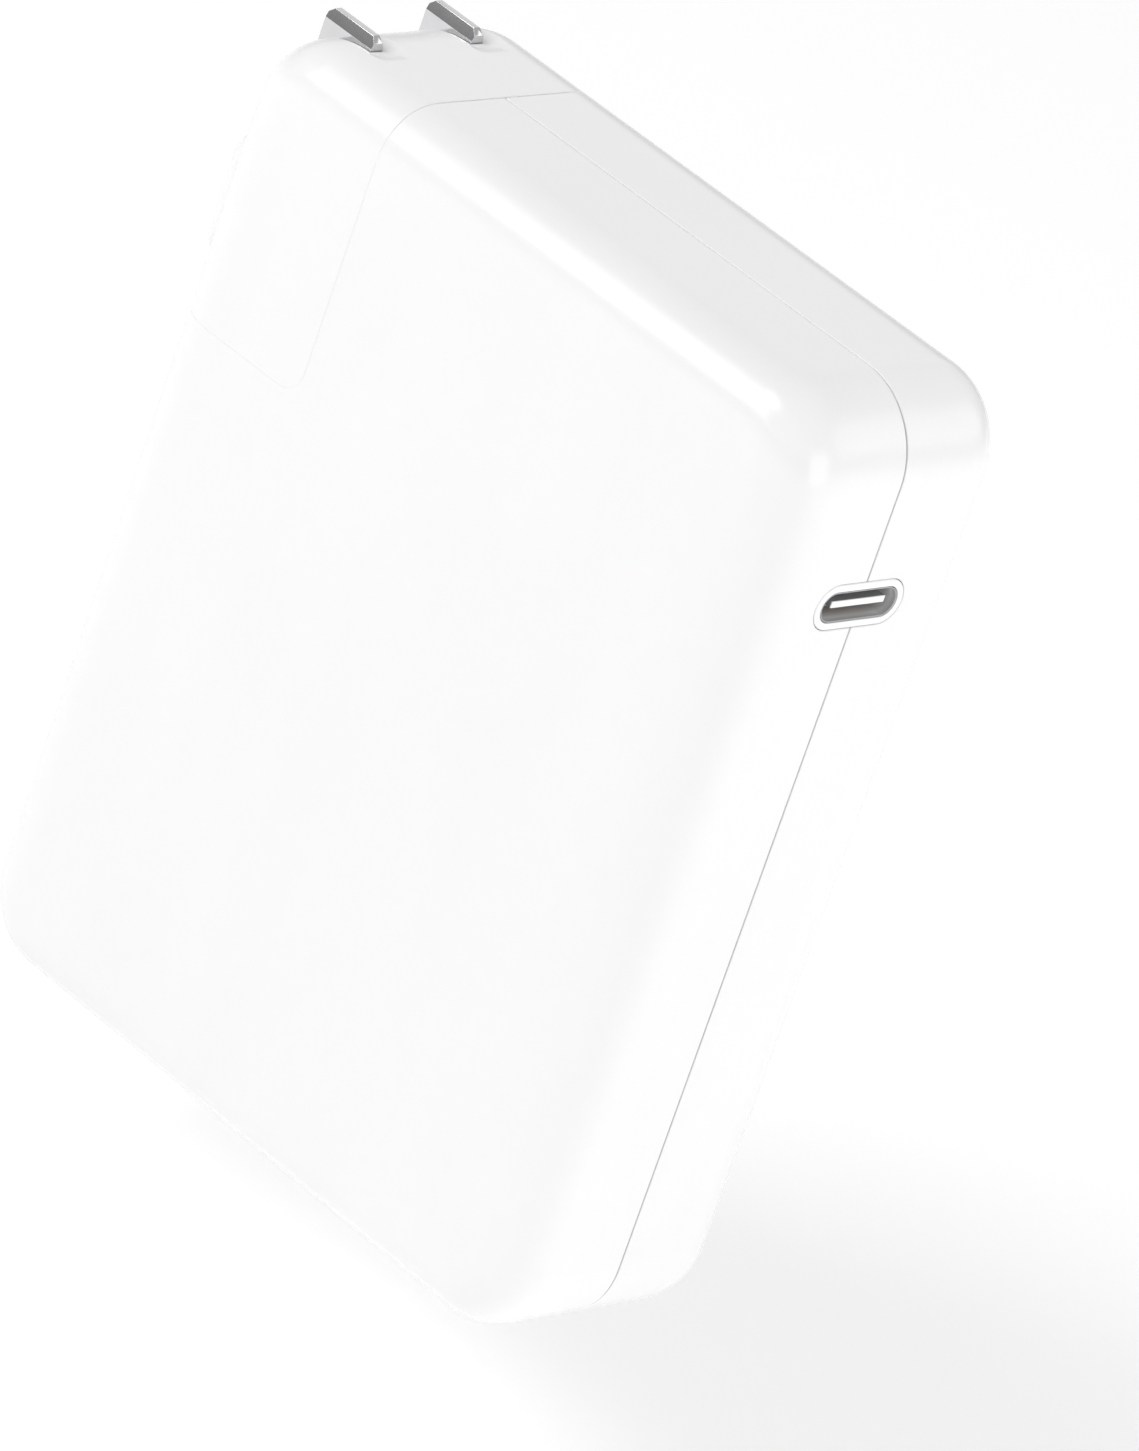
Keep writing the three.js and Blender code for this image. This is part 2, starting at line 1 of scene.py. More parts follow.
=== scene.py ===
"""The looks of a laptop power adapter: a glossy white slab in two half shells, a slide-off plug head
with two fold-away blades, a USB-C outlet in the narrow side, and the converter inside.

Lengths in this file are millimetres in the frame of the CAD model, and piece() turns them into metres.
X runs along the top edge to the outlet side, Y from the front face to the back, Z up.
"""

import json
import math

import bmesh
import bpy
from mathutils import Matrix, Vector


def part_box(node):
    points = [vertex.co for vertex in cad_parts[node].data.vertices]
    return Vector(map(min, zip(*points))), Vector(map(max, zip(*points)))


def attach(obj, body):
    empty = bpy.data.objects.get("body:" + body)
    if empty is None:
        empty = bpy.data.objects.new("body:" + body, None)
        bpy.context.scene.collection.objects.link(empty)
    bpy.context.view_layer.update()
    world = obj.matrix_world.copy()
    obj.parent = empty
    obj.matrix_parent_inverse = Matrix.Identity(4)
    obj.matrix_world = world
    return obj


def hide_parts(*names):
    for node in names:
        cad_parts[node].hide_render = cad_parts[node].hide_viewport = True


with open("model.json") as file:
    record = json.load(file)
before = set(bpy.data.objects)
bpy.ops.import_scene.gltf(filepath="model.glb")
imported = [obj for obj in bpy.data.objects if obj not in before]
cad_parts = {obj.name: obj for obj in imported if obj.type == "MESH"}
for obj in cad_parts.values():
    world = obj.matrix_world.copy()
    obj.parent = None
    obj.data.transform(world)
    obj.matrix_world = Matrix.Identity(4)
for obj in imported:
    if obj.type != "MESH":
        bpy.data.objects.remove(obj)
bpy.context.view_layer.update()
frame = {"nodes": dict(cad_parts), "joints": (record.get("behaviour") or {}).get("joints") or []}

MM = 0.001


def span(node):
    """Lowest and highest corner of a CAD node, in millimetres."""
    low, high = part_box(node)
    return low / MM, high / MM


# ---- Driving sizes, from the frame ---------------------------------------------------------------

shell_low, shell_high = span("front_shell")
head_low, head_high = span("head_cover")
blade_low, blade_high = span("blade_neutral")
bezel_low, bezel_high = span("port_bezel")
socket_low, socket_high = span("usb_c_shell")
tongue_low, tongue_high = span("usb_c_tongue")
hinge = next(joint for joint in frame["joints"] if joint["name"] == "blades_fold")
PIVOT = Vector(hinge["pos_m"]) / MM

LEFT, RIGHT = shell_low.x, shell_high.x
TOP = shell_high.z
HALF = -shell_low.y  # half of the slab's thickness
CAD_SEAM = 2 * -shell_high.y
HEAD_RIGHT = head_high.x + CAD_SEAM / 2
HEAD_BOTTOM = head_low.z - CAD_SEAM / 2

CORNER = 7.9  # corner of the outline, on the side walls
EDGE = 5.9  # rounded edge from the big faces to the side walls
POWER = 2.3  # fullness of that edge: 2 is a circle's arc
WALL = 2.2
RECESS_WALL = 2.0
HEAD_CORNER = 2.5
GAP = 0.09  # half of the open line between the two shells
HEAD_GAP = 0.055  # half of the line round the plug head, on the side walls
FACE_GAP = 0.004  # and on the big faces, where it all but closes
CUT_ROUND = 0.12  # softened edge along a parting line
FACE_ROUND = 0.012
EDGE_STEPS = 24
CORNER_STEPS = 20
ROUND_STEPS = 5


# ---- Outlines ------------------------------------------------------------------------------------


def arc(centre, radius, start, end, steps):
    """Points on an arc, angles in degrees."""
    angles = [math.radians(start + (end - start) * i / steps) for i in range(steps + 1)]
    return [(centre[0] + radius * math.cos(a), centre[1] + radius * math.sin(a)) for a in angles]


def round_over(distance, radius):
    """How far a quarter-round of that radius lies below the surface, at a distance from its edge."""
    if distance >= radius:
        return 0.0
    return radius - math.sqrt(radius**2 - (radius - max(distance, 0.0)) ** 2)


def edge_inset(depth, edge):
    """How far the outline is pulled in, at a depth behind the big face."""
    if depth >= edge:
        return 0.0
    return edge * (1 - (1 - (1 - max(depth, 0.0) / edge) ** POWER) ** (1 / POWER))


def head_gap(depth):
    """Half of the line round the plug head: it opens from the big face to the side walls."""
    share = min(depth / EDGE, 1.0)
    return FACE_GAP + (HEAD_GAP - FACE_GAP) * share**4 + round_over(depth, FACE_ROUND)


def edge_depths(edge):
    """Depths behind the big face, close together where the rounded edge turns most."""
    angles = [math.pi / 2 * (1 - i / EDGE_STEPS) for i in range(EDGE_STEPS + 1)]
    return [edge * (1 - math.sin(a) ** (2 / POWER)) for a in angles]


def quarter(steps=ROUND_STEPS):
    """Shares 0..1 of a quarter-round, as (along, across)."""
    angles = [math.pi / 2 * i / steps for i in range(steps + 1)]
    return [(math.sin(a), 1 - math.cos(a)) for a in angles]


def stadium(width, height, centre, steps=14):
    """A slot outline with half-round ends: width along the first axis."""
    radius, reach = height / 2, (width - height) / 2
    return (arc((centre[0] + reach, centre[1]), radius, -90, 90, steps)
            + arc((centre[0] - reach, centre[1]), radius, 90, 270, steps))


def rounded_rectangle(width, height, corner, centre=(0, 0), steps=6):
    """A rectangle's outline with rounded corners: width along the first axis."""
    reach, rise = width / 2 - corner, height / 2 - corner
    signs = [(1, 1), (-1, 1), (-1, -1), (1, -1)]
    points = []
    for i, (sx, sz) in enumerate(signs):
        middle = (centre[0] + sx * reach, centre[1] + sz * rise)
        points += arc(middle, corner, 90 * i, 90 * i + 90, steps)
    return points


# ---- Meshes --------------------------------------------------------------------------------------


def link(name, mesh):
    """A new object in the scene for that mesh."""
    thing = bpy.data.objects.new(name, mesh)
    bpy.context.scene.collection.objects.link(thing)
    return thing


def mesh_of(name, vertices, faces):
    """A mesh in millimetres with its faces turned outwards."""
    bm = bmesh.new()
    points = [bm.verts.new(v) for v in vertices]
    for face in faces:
        bm.faces.new([points[i] for i in face])
    bmesh.ops.remove_doubles(bm, verts=bm.verts, dist=1e-5)
    bmesh.ops.dissolve_degenerate(bm, edges=bm.edges, dist=1e-6)
    bmesh.ops.recalc_face_normals(bm, faces=bm.faces)
    mesh = bpy.data.meshes.new(name)
    bm.to_mesh(mesh)
    bm.free()
    return mesh


def skin(name, rings, place):
    """A closed skin through rings of equally many outline points. place turns (u, v, along) into XYZ."""
    count = len(rings[0][1])
    vertices = [place(u, v, along) for along, ring in rings for u, v in ring]
    faces = [list(range(count)), list(range(len(vertices) - count, len(vertices)))]
    for start in range(0, len(vertices) - count, count):
        for i in range(count):
            j = (i + 1) % count
            faces.append([start + i, start + j, start + count + j, start + count + i])
    return mesh_of(name, vertices, faces)


def tube(name, rings, place):
    """A skin through rings that closes on its first ring, as a pipe's wall does."""
    count = len(rings[0][1])
    vertices = [place(u, v, along) for along, ring in rings for u, v in ring]
    total = len(vertices)
    faces = []
    for start in range(0, total, count):
        for i in range(count):
            j = (i + 1) % count
            ahead = start + count
            faces.append([start + i, start + j, (ahead + j) % total, (ahead + i) % total])
    return mesh_of(name, vertices, faces)


def along_y(u, v, along):
    return (u, along, v)


def along_x(u, v, along):
    return (along, u, v)


def along_z(u, v, along):
    return (u, v, along)


def lathe(name, profile, place, centre=(0, 0), steps=48):
    """A turned solid from (radius, along) pairs. A profile that meets the axis closes there."""
    vertices, rows = [], []
    for radius, along in profile:
        if radius < 1e-6:
            rows.append([len(vertices)])
            vertices.append(place(centre[0], centre[1], along))
            continue
        rows.append([len(vertices) + i for i in range(steps)])
        circle = arc(centre, radius, 0, 360 * (steps - 1) / steps, steps - 1)
        vertices += [place(u, v, along) for u, v in circle]
    pairs = list(zip(rows, rows[1:]))
    if len(rows[0]) > 1:
        pairs.append((rows[-1], rows[0]))
    faces = []
    for a, b in pairs:
        for i in range(steps):
            j = (i + 1) % steps
            corners = [a[i % len(a)], a[j % len(a)], b[j % len(b)], b[i % len(b)]]
            faces.append(list(dict.fromkeys(corners)))
    return mesh_of(name, vertices, faces)


def soft_ends(radius, start, end, ease):
    """Profile of a round bar whose two rims are rounded."""
    shares = quarter(4)
    low = [(radius - ease + ease * s, start + ease * c) for s, c in shares]
    high = [(radius - ease * c, end - ease + ease * s) for s, c in shares]
    return [(0, start)] + low + high + [(0, end)]


def rod(radius, start, end):
    """Profile of a plain round bar, for a cutter."""
    return [(0, start), (radius, start), (radius, end), (0, end)]


def block(name, low, high):
    """A box between two corners."""
    corners = [(x, y, z) for x in (low[0], high[0]) for y in (low[1], high[1]) for z in (low[2], high[2])]
    faces = [(0, 1, 3, 2), (4, 6, 7, 5), (0, 4, 5, 1), (2, 3, 7, 6), (0, 2, 6, 4), (1, 5, 7, 3)]
    return mesh_of(name, corners, faces)


def carve(mesh, *tools, operation="DIFFERENCE"):
    """The mesh after each tool mesh is cut from it, or joined to it."""
    target = link("target", mesh)
    cutters = [link("tool", tool) for tool in tools]
    for cutter in cutters:
        modifier = target.modifiers.new("cut", "BOOLEAN")
        modifier.object, modifier.operation, modifier.solver = cutter, operation, "EXACT"
    graph = bpy.context.evaluated_depsgraph_get()
    result = bpy.data.meshes.new_from_object(target.evaluated_get(graph))
    result.name = mesh.name
    for thing in [target, *cutters]:
        bpy.data.objects.remove(thing)
    return result


def hoops(name, loops, radius, sides=10):
    """Round wire bent into closed loops. Each loop is its path, and the normal of the plane it lies in."""
    vertices, faces = [], []
    for path, normal in loops:
        first, count = len(vertices), len(path)
        for i, point in enumerate(path):
            out = (path[(i + 1) % count] - path[i - 1]).normalized().cross(normal)
            angles = [2 * math.pi * k / sides for k in range(sides)]
            vertices += [point + (normal * math.cos(a) + out * math.sin(a)) * radius for a in angles]
        for i in range(count):
            for k in range(sides):
                a, b = first + i * sides, first + (i + 1) % count * sides
                m = (k + 1) % sides
                faces.append((a + k, a + m, b + m, b + k))
    return mesh_of(name, vertices, faces)


def joined(name, *meshes):
    """Separate closed meshes as one."""
    bm = bmesh.new()
    for mesh in meshes:
        bm.from_mesh(mesh)
    result = bpy.data.meshes.new(name)
    bm.to_mesh(result)
    bm.free()
    return result


SHARP = math.radians(32)


def piece(name, mesh, body, slot, material, *nodes, edge=0.0, crease=SHARP):
    """A finished piece on its body. edge rounds what the mesh leaves sharper than the crease angle."""
    mesh.transform(Matrix.Scale(MM, 4))
    thing = link(name, mesh)
    mesh.name = name
    mesh.materials.clear()
    mesh.materials.append(material)
    mesh.shade_smooth()
    if edge:
        ease(thing, edge, crease)
    mesh.set_sharp_from_angle(angle=crease)
    even = thing.modifiers.new("Even shading", "WEIGHTED_NORMAL")
    even.keep_sharp = not edge
    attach(thing, body)
    if nodes:
        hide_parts(*nodes)
    return thing


def ease(thing, edge, crease=SHARP):
    """Rounds the edges that are sharper than the crease angle."""
    bevel = thing.modifiers.new("Eased edges", "BEVEL")
    bevel.width = edge * MM
    bevel.segments = 2
    bevel.limit_method = "ANGLE"
    bevel.angle_limit = crease
    bevel.harden_normals = False
    bevel.use_clamp_overlap = True


# ---- Materials -----------------------------------------------------------------------------------


class Surface:
    """A material whose principled shader takes its colour, roughness and relief from textures in
    the object's own coordinates. Texture sizes are in millimetres."""

    def __init__(self, name, roughness=0.4, metallic=0.0, **sockets):
        self.material = bpy.data.materials.new(name)
        self.material.use_nodes = True
        self.tree = self.material.node_tree
        self.shader = self.tree.nodes["Principled BSDF"]
        self.shader.inputs["Roughness"].default_value = roughness
        self.shader.inputs["Metallic"].default_value = metallic
        for socket, value in sockets.items():
            self.shader.inputs[socket.replace("_", " ")].default_value = value
        self.coordinates = self.tree.nodes.new("ShaderNodeTexCoord")
        self.height = None

    def node(self, kind, **settings):
        made = self.tree.nodes.new("ShaderNode" + kind)
        for name, value in settings.items():
            setattr(made, name, value)
        return made

    def join(self, source, target):
        self.tree.links.new(source, target)

    def stretched(self, stretch):
        mapping = self.node("Mapping")
        mapping.inputs["Scale"].default_value = stretch
        self.join(self.coordinates.outputs["Object"], mapping.inputs["Vector"])
        return mapping.outputs["Vector"]

    def noise(self, size, stretch=(1, 1, 1), detail=2.0):
        made = self.node("TexNoise")
        made.inputs["Scale"].default_value = 1 / (size * MM)
        made.inputs["Detail"].default_value = detail
        self.join(self.stretched(stretch), made.inputs["Vector"])
        return made.outputs["Fac"]

    def ramp(self, value, *stops):
        made = self.node("ValToRGB")
        elements = made.color_ramp.elements
        while len(elements) < len(stops):
            elements.new(0.5)
        for element, (place, colour) in zip(elements, stops):
            element.position = place
            element.color = (*colour, 1)
        self.join(value, made.inputs["Fac"])
        return made.outputs["Color"]

    def spread(self, value, low, high):
        made = self.node("MapRange")
        made.inputs["To Min"].default_value = low
        made.inputs["To Max"].default_value = high
        self.join(value, made.inputs["Value"])
        return made.outputs["Result"]

    def colour(self, value, *stops):
        self.join(self.ramp(value, *stops), self.shader.inputs["Base Color"])
        return self

    def rough(self, value, low, high):
        self.join(self.spread(value, low, high), self.shader.inputs["Roughness"])
        return self

    def relief(self, value, micrometres):
        made = self.node("Bump")
        made.inputs["Strength"].default_value = 1.0
        made.inputs["Distance"].default_value = micrometres * 1e-6
        self.join(value, made.inputs["Height"])
        if self.height:
            self.join(self.height, made.inputs["Normal"])
        self.height = made.outputs["Normal"]
        self.join(self.height, self.shader.inputs["Normal"])
        return self


def moulded(name, colour, roughness, grain=0.35, depth=0.5, **sockets):
    """Injection-moulded plastic: a fine satin grain, slow gloss changes and a trace of flow marks."""
    made = Surface(name, roughness, **sockets)
    flow = made.noise(14, (1, 1, 0.4), detail=3)
    pale = tuple(min(1.0, c * 1.006) for c in colour)
    deep = tuple(c * 0.99 for c in colour)
    made.colour(flow, (0.3, deep), (0.7, pale))
    made.rough(made.noise(3, detail=4), roughness * 0.9, roughness * 1.12)
    made.relief(made.noise(grain, detail=3), depth)
    return made.material


def metal(name, colour, roughness, grain=(1, 1, 1), size=0.2, depth=0.6, tarnish=0.93, bare=1.0):
    """Plated or rolled metal: a directional grain, with a slight cast where it is handled."""
    made = Surface(name, roughness, bare)
    made.colour(made.noise(2.5, detail=4), (0.3, tuple(c * tarnish for c in colour)), (0.7, colour))
    made.rough(made.noise(size, grain, detail=4), roughness * 0.75, roughness * 1.3)
    made.relief(made.noise(size * 0.6, grain, detail=2), depth)
    return made.material


def painted_shade_lining(name, deep):
    """The outlet's plated strip, satin, with painted shade and light by depth: darkest deep inside, brightest
    just inside the mouth, and darker again at the front lip.
    """
    made = Surface(name, 0.46, 0.25)
    split, share = made.node("SeparateXYZ"), made.node("MapRange")
    made.join(made.coordinates.outputs["Object"], split.inputs["Vector"])
    made.join(split.outputs["X"], share.inputs["Value"])
    share.inputs["From Min"].default_value = (RIGHT - deep) * MM
    share.inputs["From Max"].default_value = RIGHT * MM
    # Painted shade and painted light: the colour runs from dark deep in the outlet to bright near its mouth.
    made.colour(share.outputs["Result"], (0.0, (0.10, 0.10, 0.10)), (0.45, (0.40, 0.40, 0.41)),
                (0.88, (0.98, 0.98, 0.98)), (1.0, (0.45, 0.45, 0.46)))
    made.relief(made.noise(0.4), 0.8)
    return made.material


def board(name):
    """Green solder mask over etched copper: straight tracks, pour edges and vias."""
    made = Surface(name, 0.35)
    bricks = made.node("TexBrick")
    bricks.inputs["Scale"].default_value = 1 / (2.4 * MM)
    bricks.inputs["Mortar Size"].default_value = 0.06
    bricks.inputs["Brick Width"].default_value = 1.7
    bricks.inputs["Row Height"].default_value = 0.45
    bricks.inputs["Color1"].default_value = (0.012, 0.10, 0.045, 1)
    bricks.inputs["Color2"].default_value = (0.018, 0.13, 0.058, 1)
    bricks.inputs["Mortar"].default_value = (0.035, 0.20, 0.085, 1)
    turn = made.node("Mapping")
    turn.inputs["Rotation"].default_value = (math.pi / 2, 0, 0)
    made.join(made.coordinates.outputs["Object"], turn.inputs["Vector"])
    made.join(turn.outputs["Vector"], bricks.inputs["Vector"])
    made.join(bricks.outputs["Color"], made.shader.inputs["Base Color"])
    made.relief(bricks.outputs["Fac"], 25)
    made.rough(made.noise(1.5), 0.28, 0.42)
    return made.material


def tape(name, colour):
    """Polyester tape wound in overlapping turns round the vertical axis."""
    made = Surface(name, 0.25, Coat_Weight=0.4, Coat_Roughness=0.15)
    waves = made.node("TexWave", wave_type="BANDS", bands_direction="Z", wave_profile="SAW")
    waves.inputs["Scale"].default_value = 1 / (11 * MM)
    waves.inputs["Distortion"].default_value = 0.6
    made.join(made.coordinates.outputs["Object"], waves.inputs["Vector"])
    made.colour(waves.outputs["Fac"], (0.0, tuple(c * 0.82 for c in colour)), (0.12, colour), (1.0, colour))
    made.relief(waves.outputs["Fac"], 40)
    return made.material


def ferrite(name):
    """Sintered ferrite: near-black, matt and finely pitted."""
    made = Surface(name, 0.6)
    made.colour(made.noise(0.4, detail=5), (0.35, (0.018, 0.018, 0.02)), (0.7, (0.05, 0.05, 0.052)))
    made.relief(made.noise(0.18, detail=4), 9)
    made.rough(made.noise(0.8), 0.45, 0.75)
    return made.material


WHITE = (0.905, 0.905, 0.905)
MATERIALS = {
    "white_plastic": moulded("Glossy white polycarbonate", WHITE, 0.24, Coat_Weight=0.0),
    "port_plastic": moulded("Satin white polycarbonate", (0.93, 0.93, 0.93), 0.32, grain=0.2),
    "blade_metal": metal("Nickel-plated brass", (0.64, 0.64, 0.65), 0.13, (6, 6, 0.35), 0.5, 0.15),
    "port_metal": painted_shade_lining("Satin nickel-plated strip with painted shade and light", 6),
    "steel": metal("Rolled stainless steel", (0.55, 0.55, 0.56), 0.3, (0.4, 4, 4), 0.4, 1.0),
    "contact_gold": metal("Gold-plated contact", (0.80, 0.60, 0.28), 0.22, (0.4, 5, 5), 0.2, 0.4),
    "copper": metal("Bright copper", (0.80, 0.42, 0.27), 0.3, (1, 1, 0.4), 0.4, 1.2, tarnish=0.8),
    "spreader_metal": metal("Rolled aluminium", (0.72, 0.73, 0.74), 0.34, (5, 5, 0.3), 0.6, 1.4),
    "tongue_plastic": moulded("White liquid-crystal polymer", (0.94, 0.94, 0.93), 0.42, grain=0.12),
    # Painted shade: the tongue's own white polymer coloured dark, for the shade behind its tip inside the
    # outlet.
    "painted_shade_tongue_plastic": moulded("Liquid-crystal polymer painted dark for shade", (0.22, 0.22, 0.225), 0.42, grain=0.12),
    "black_plastic": moulded("Black glass-filled nylon", (0.02, 0.02, 0.022), 0.42, grain=0.25, depth=2.5),
    "board_green": board("Green circuit board"),
    "ferrite": ferrite("Sintered ferrite"),
    "coil_tape": tape("Amber winding tape", (0.72, 0.46, 0.06)),
    "capacitor_sleeve": moulded("Dark shrink sleeve", (0.016, 0.02, 0.034), 0.3, grain=1.2, depth=4),
    "film_case": moulded("Yellow film-capacitor case", (0.70, 0.48, 0.08), 0.36, grain=0.3, depth=2),
    "blue_coat": moulded("Blue dipped epoxy", (0.035, 0.12, 0.42), 0.3, grain=2.2, depth=22),
    "brown_wire": moulded("Brown wire insulation", (0.16, 0.065, 0.025), 0.4, grain=0.8, depth=3),
    "fuse_ceramic": moulded("Fuse ceramic", (0.74, 0.71, 0.64), 0.3, grain=0.2, depth=2),
}


# ---- Body shells ---------------------------------------------------------------------------------

LIP = 1.15  # thickness of the outer half of the wall at the seam, outside the tongue and groove
TONGUE_CLEAR = 0.15
GROOVE_DEPTH = 1.3
TONGUE_DEPTH = 1.2
PORT = (0, (bezel_low.z + bezel_high.z) / 2)
PORT_WIDTH, PORT_HEIGHT = 11.0, 4.5  # the bezel's face
BEZEL_GAP = 0.07
NOSE_IN, NOSE_HALF = 1.6, 6.8  # the inlet's opening: in from its housing's ends, and half its length
STUD_HOLE = 2.15  # radius


def shell_outline(inset, grow):
    """The slab's outline pulled in by inset, with the plug head's corner cut out and widened by grow."""
    corner = max(CORNER - inset, 0.8)
    left, right, low, top = LEFT + inset, RIGHT - inset, inset, TOP - inset
    cut_x, cut_z = HEAD_RIGHT + grow, HEAD_BOTTOM - grow
    notch = HEAD_CORNER + grow
    ease = CUT_ROUND
    return (arc((cut_x + ease, top - ease), ease, 180, 90, ROUND_STEPS)
            + arc((right - corner, top - corner), corner, 90, 0, CORNER_STEPS)
            + arc((right - corner, low + corner), corner, 0, -90, CORNER_STEPS)
            + arc((left + corner, low + corner), corner, -90, -180, CORNER_STEPS)
            + arc((left + ease, cut_z - ease), ease, 180, 90, ROUND_STEPS)
            + arc((cut_x - notch, cut_z + notch), notch, -90, 0, CORNER_STEPS // 2))


def shell_rings(side):
    """Rings of one half shell, from its outer face to the seam and back along the inside."""
    seam = HALF - GAP
    rings = [(depth, edge_inset(depth, EDGE), head_gap(depth)) for depth in edge_depths(EDGE)]
    for along, across in quarter():
        eased = CUT_ROUND * across
        rings.append((seam - CUT_ROUND + CUT_ROUND * along, eased, HEAD_GAP + eased))
    if side < 0:
        lip, step = LIP, seam - GROOVE_DEPTH
    else:
        lip, step = LIP + TONGUE_CLEAR, seam + TONGUE_DEPTH
    rings += [(seam, lip, HEAD_GAP + lip), (step, lip, HEAD_GAP + lip)]
    rings.append((step, WALL, HEAD_GAP + RECESS_WALL))
    inner = EDGE - WALL
    for depth in reversed(edge_depths(inner)):
        rings.append((WALL + depth, WALL + edge_inset(depth, inner), HEAD_GAP + RECESS_WALL))
    return [(side * (HALF - depth), shell_outline(inset, grow)) for depth, inset, grow in rings]


def flared_slot(width, height, centre, deep, reach):
    """A cutter for an outlet in the right wall, flared to round the hole's rim."""
    rings = [(deep, stadium(width, height, centre))]
    for along, across in quarter():
        grown = 2 * CUT_ROUND * across
        rings.append((RIGHT - CUT_ROUND + CUT_ROUND * along, stadium(width + grown, height + grown, centre)))
    grown = 2 * CUT_ROUND
    rings.append((reach, stadium(width + grown, height + grown, centre)))
    return skin("outlet", rings, along_x)


def shell(side):
    """One half shell with its outlet, inlet and stud holes."""
    nose_low, nose_high = span("inlet_housing")
    stud_low, stud_high = span("lock_stud")
    width, height = PORT_WIDTH + 2 * BEZEL_GAP, PORT_HEIGHT + 2 * BEZEL_GAP
    outlet = flared_slot(width, height, PORT, RIGHT - 4, RIGHT + 1)
    inlet = block("inlet", (nose_low.x + NOSE_IN, -NOSE_HALF, HEAD_BOTTOM - 3),
                  (nose_high.x - NOSE_IN, NOSE_HALF, HEAD_BOTTOM + 1))
    stud = lathe("stud", rod(STUD_HOLE, HEAD_RIGHT - 1, HEAD_RIGHT + 4), along_x,
                 (0, (stud_low.z + stud_high.z) / 2))
    return carve(skin("shell", shell_rings(side), along_y), outlet, inlet, stud)


piece("front_shell_skin", shell(-1), "adapter", "white_plastic", MATERIALS["white_plastic"], "front_shell")
piece("rear_shell_skin", shell(1), "adapter", "white_plastic", MATERIALS["white_plastic"], "rear_shell")


# ---- Outlet --------------------------------------------------------------------------------------

MOUTH_WIDTH, MOUTH_HEIGHT = 9.62, 3.12  # the opening in the bezel, which the drawn-metal sleeve lines
SLEEVE = 0.1  # thickness of the sleeve
SLEEVE_SET = 0.05  # how far it stands back from the outlet's face
TONGUE_HALF, TONGUE_THICK = 3.38, 0.63
TONGUE_TIP = 0.12  # depth of its light tip; behind it the tongue is painted dark as shade
TONGUE_ROOT = 1.8  # length of the block that the tongue stands on
TONGUE_SET = 0.25  # how far its tip stands back from the outlet's face
TONGUE_RISE = 0.18  # and how far above the outlet's middle it lies


def bezel():
    """The outlet's ring: its face flush with the wall, both of its rims rounded, a flange inside."""
    rim, mouth_rim, flange, shoulder = 0.14, 0.05, 1.2, RIGHT - 2.4
    rings = [(bezel_low.x, flange), (shoulder, flange), (shoulder, 0.0)]
    rings += [(RIGHT - rim + rim * along, -rim * across) for along, across in quarter()]
    outside = [(x, stadium(PORT_WIDTH + 2 * grow, PORT_HEIGHT + 2 * grow, PORT)) for x, grow in rings]
    rings = [(RIGHT - mouth_rim * across, mouth_rim * (1 - along)) for along, across in quarter()]
    rings.append((bezel_low.x, 0.0))
    inside = [(x, stadium(MOUTH_WIDTH + 2 * grow, MOUTH_HEIGHT + 2 * grow, PORT)) for x, grow in rings]
    return tube("bezel", outside + inside, along_x)


piece("port_bezel_ring", bezel(), "adapter", "port_plastic", MATERIALS["port_plastic"], "port_bezel")


def socket_can():
    """The outlet's drawn-metal sleeve, with a rolled front lip."""
    width, height = socket_high.y - socket_low.y, socket_high.z - socket_low.z
    front, back, half = RIGHT - SLEEVE_SET, socket_low.x, SLEEVE / 2
    angles = [math.pi * (0.5 - i / 8) for i in range(9)]
    lip = [(front - half + half * math.cos(a), half * (1 - math.sin(a))) for a in angles]
    rings = [(back, 0.0)] + lip + [(back, SLEEVE)]
    rings = [(x, stadium(width - 2 * pull, height - 2 * pull, PORT)) for x, pull in rings]
    return tube("can", rings, along_x)


piece("usb_c_shell_can", socket_can(), "adapter", "port_metal", MATERIALS["port_metal"], "usb_c_shell")


def tongue(start, end, corner):
    """A stretch of the outlet's tongue, its front corners rounded."""
    reach = TONGUE_HALF - corner
    outline = [(start, TONGUE_HALF), (start, -TONGUE_HALF)]
    outline += arc((end - corner, -reach), corner, -90, 0, 5) + arc((end - corner, reach), corner, 0, 90, 5)
    middle, half = PORT[1] + TONGUE_RISE, TONGUE_THICK / 2
    return skin("tongue", [(middle - half, outline), (middle + half, outline)], along_z)


def outlet_tongue():
    """The outlet's tongue, which stands on a block at the back: a light tip, and behind it a core and block
    in the same polymer coloured dark as painted shade.
    """
    front = RIGHT - TONGUE_SET
    back = tongue_low.x + TONGUE_ROOT
    tip = front - TONGUE_TIP
    ring = stadium(tongue_high.y - tongue_low.y, tongue_high.z - tongue_low.z, PORT)
    root = skin("root", [(tongue_low.x, ring), (back, ring)], along_x)
    core = joined("core", root, tongue(back - 0.5, tip, 0.01))
    piece("usb_c_tongue_tip", tongue(tip, front, 0.04), "adapter", "tongue_plastic",
          MATERIALS["tongue_plastic"], "usb_c_tongue", edge=0.02)
    # Painted shade: the core and its block are coloured dark for the shade inside the outlet.
    piece("usb_c_tongue_core", core, "adapter", "black_plastic", MATERIALS["painted_shade_tongue_plastic"], "usb_c_tongue",
          edge=0.05)


outlet_tongue()


# ---- Plug head cover -----------------------------------------------------------------------------

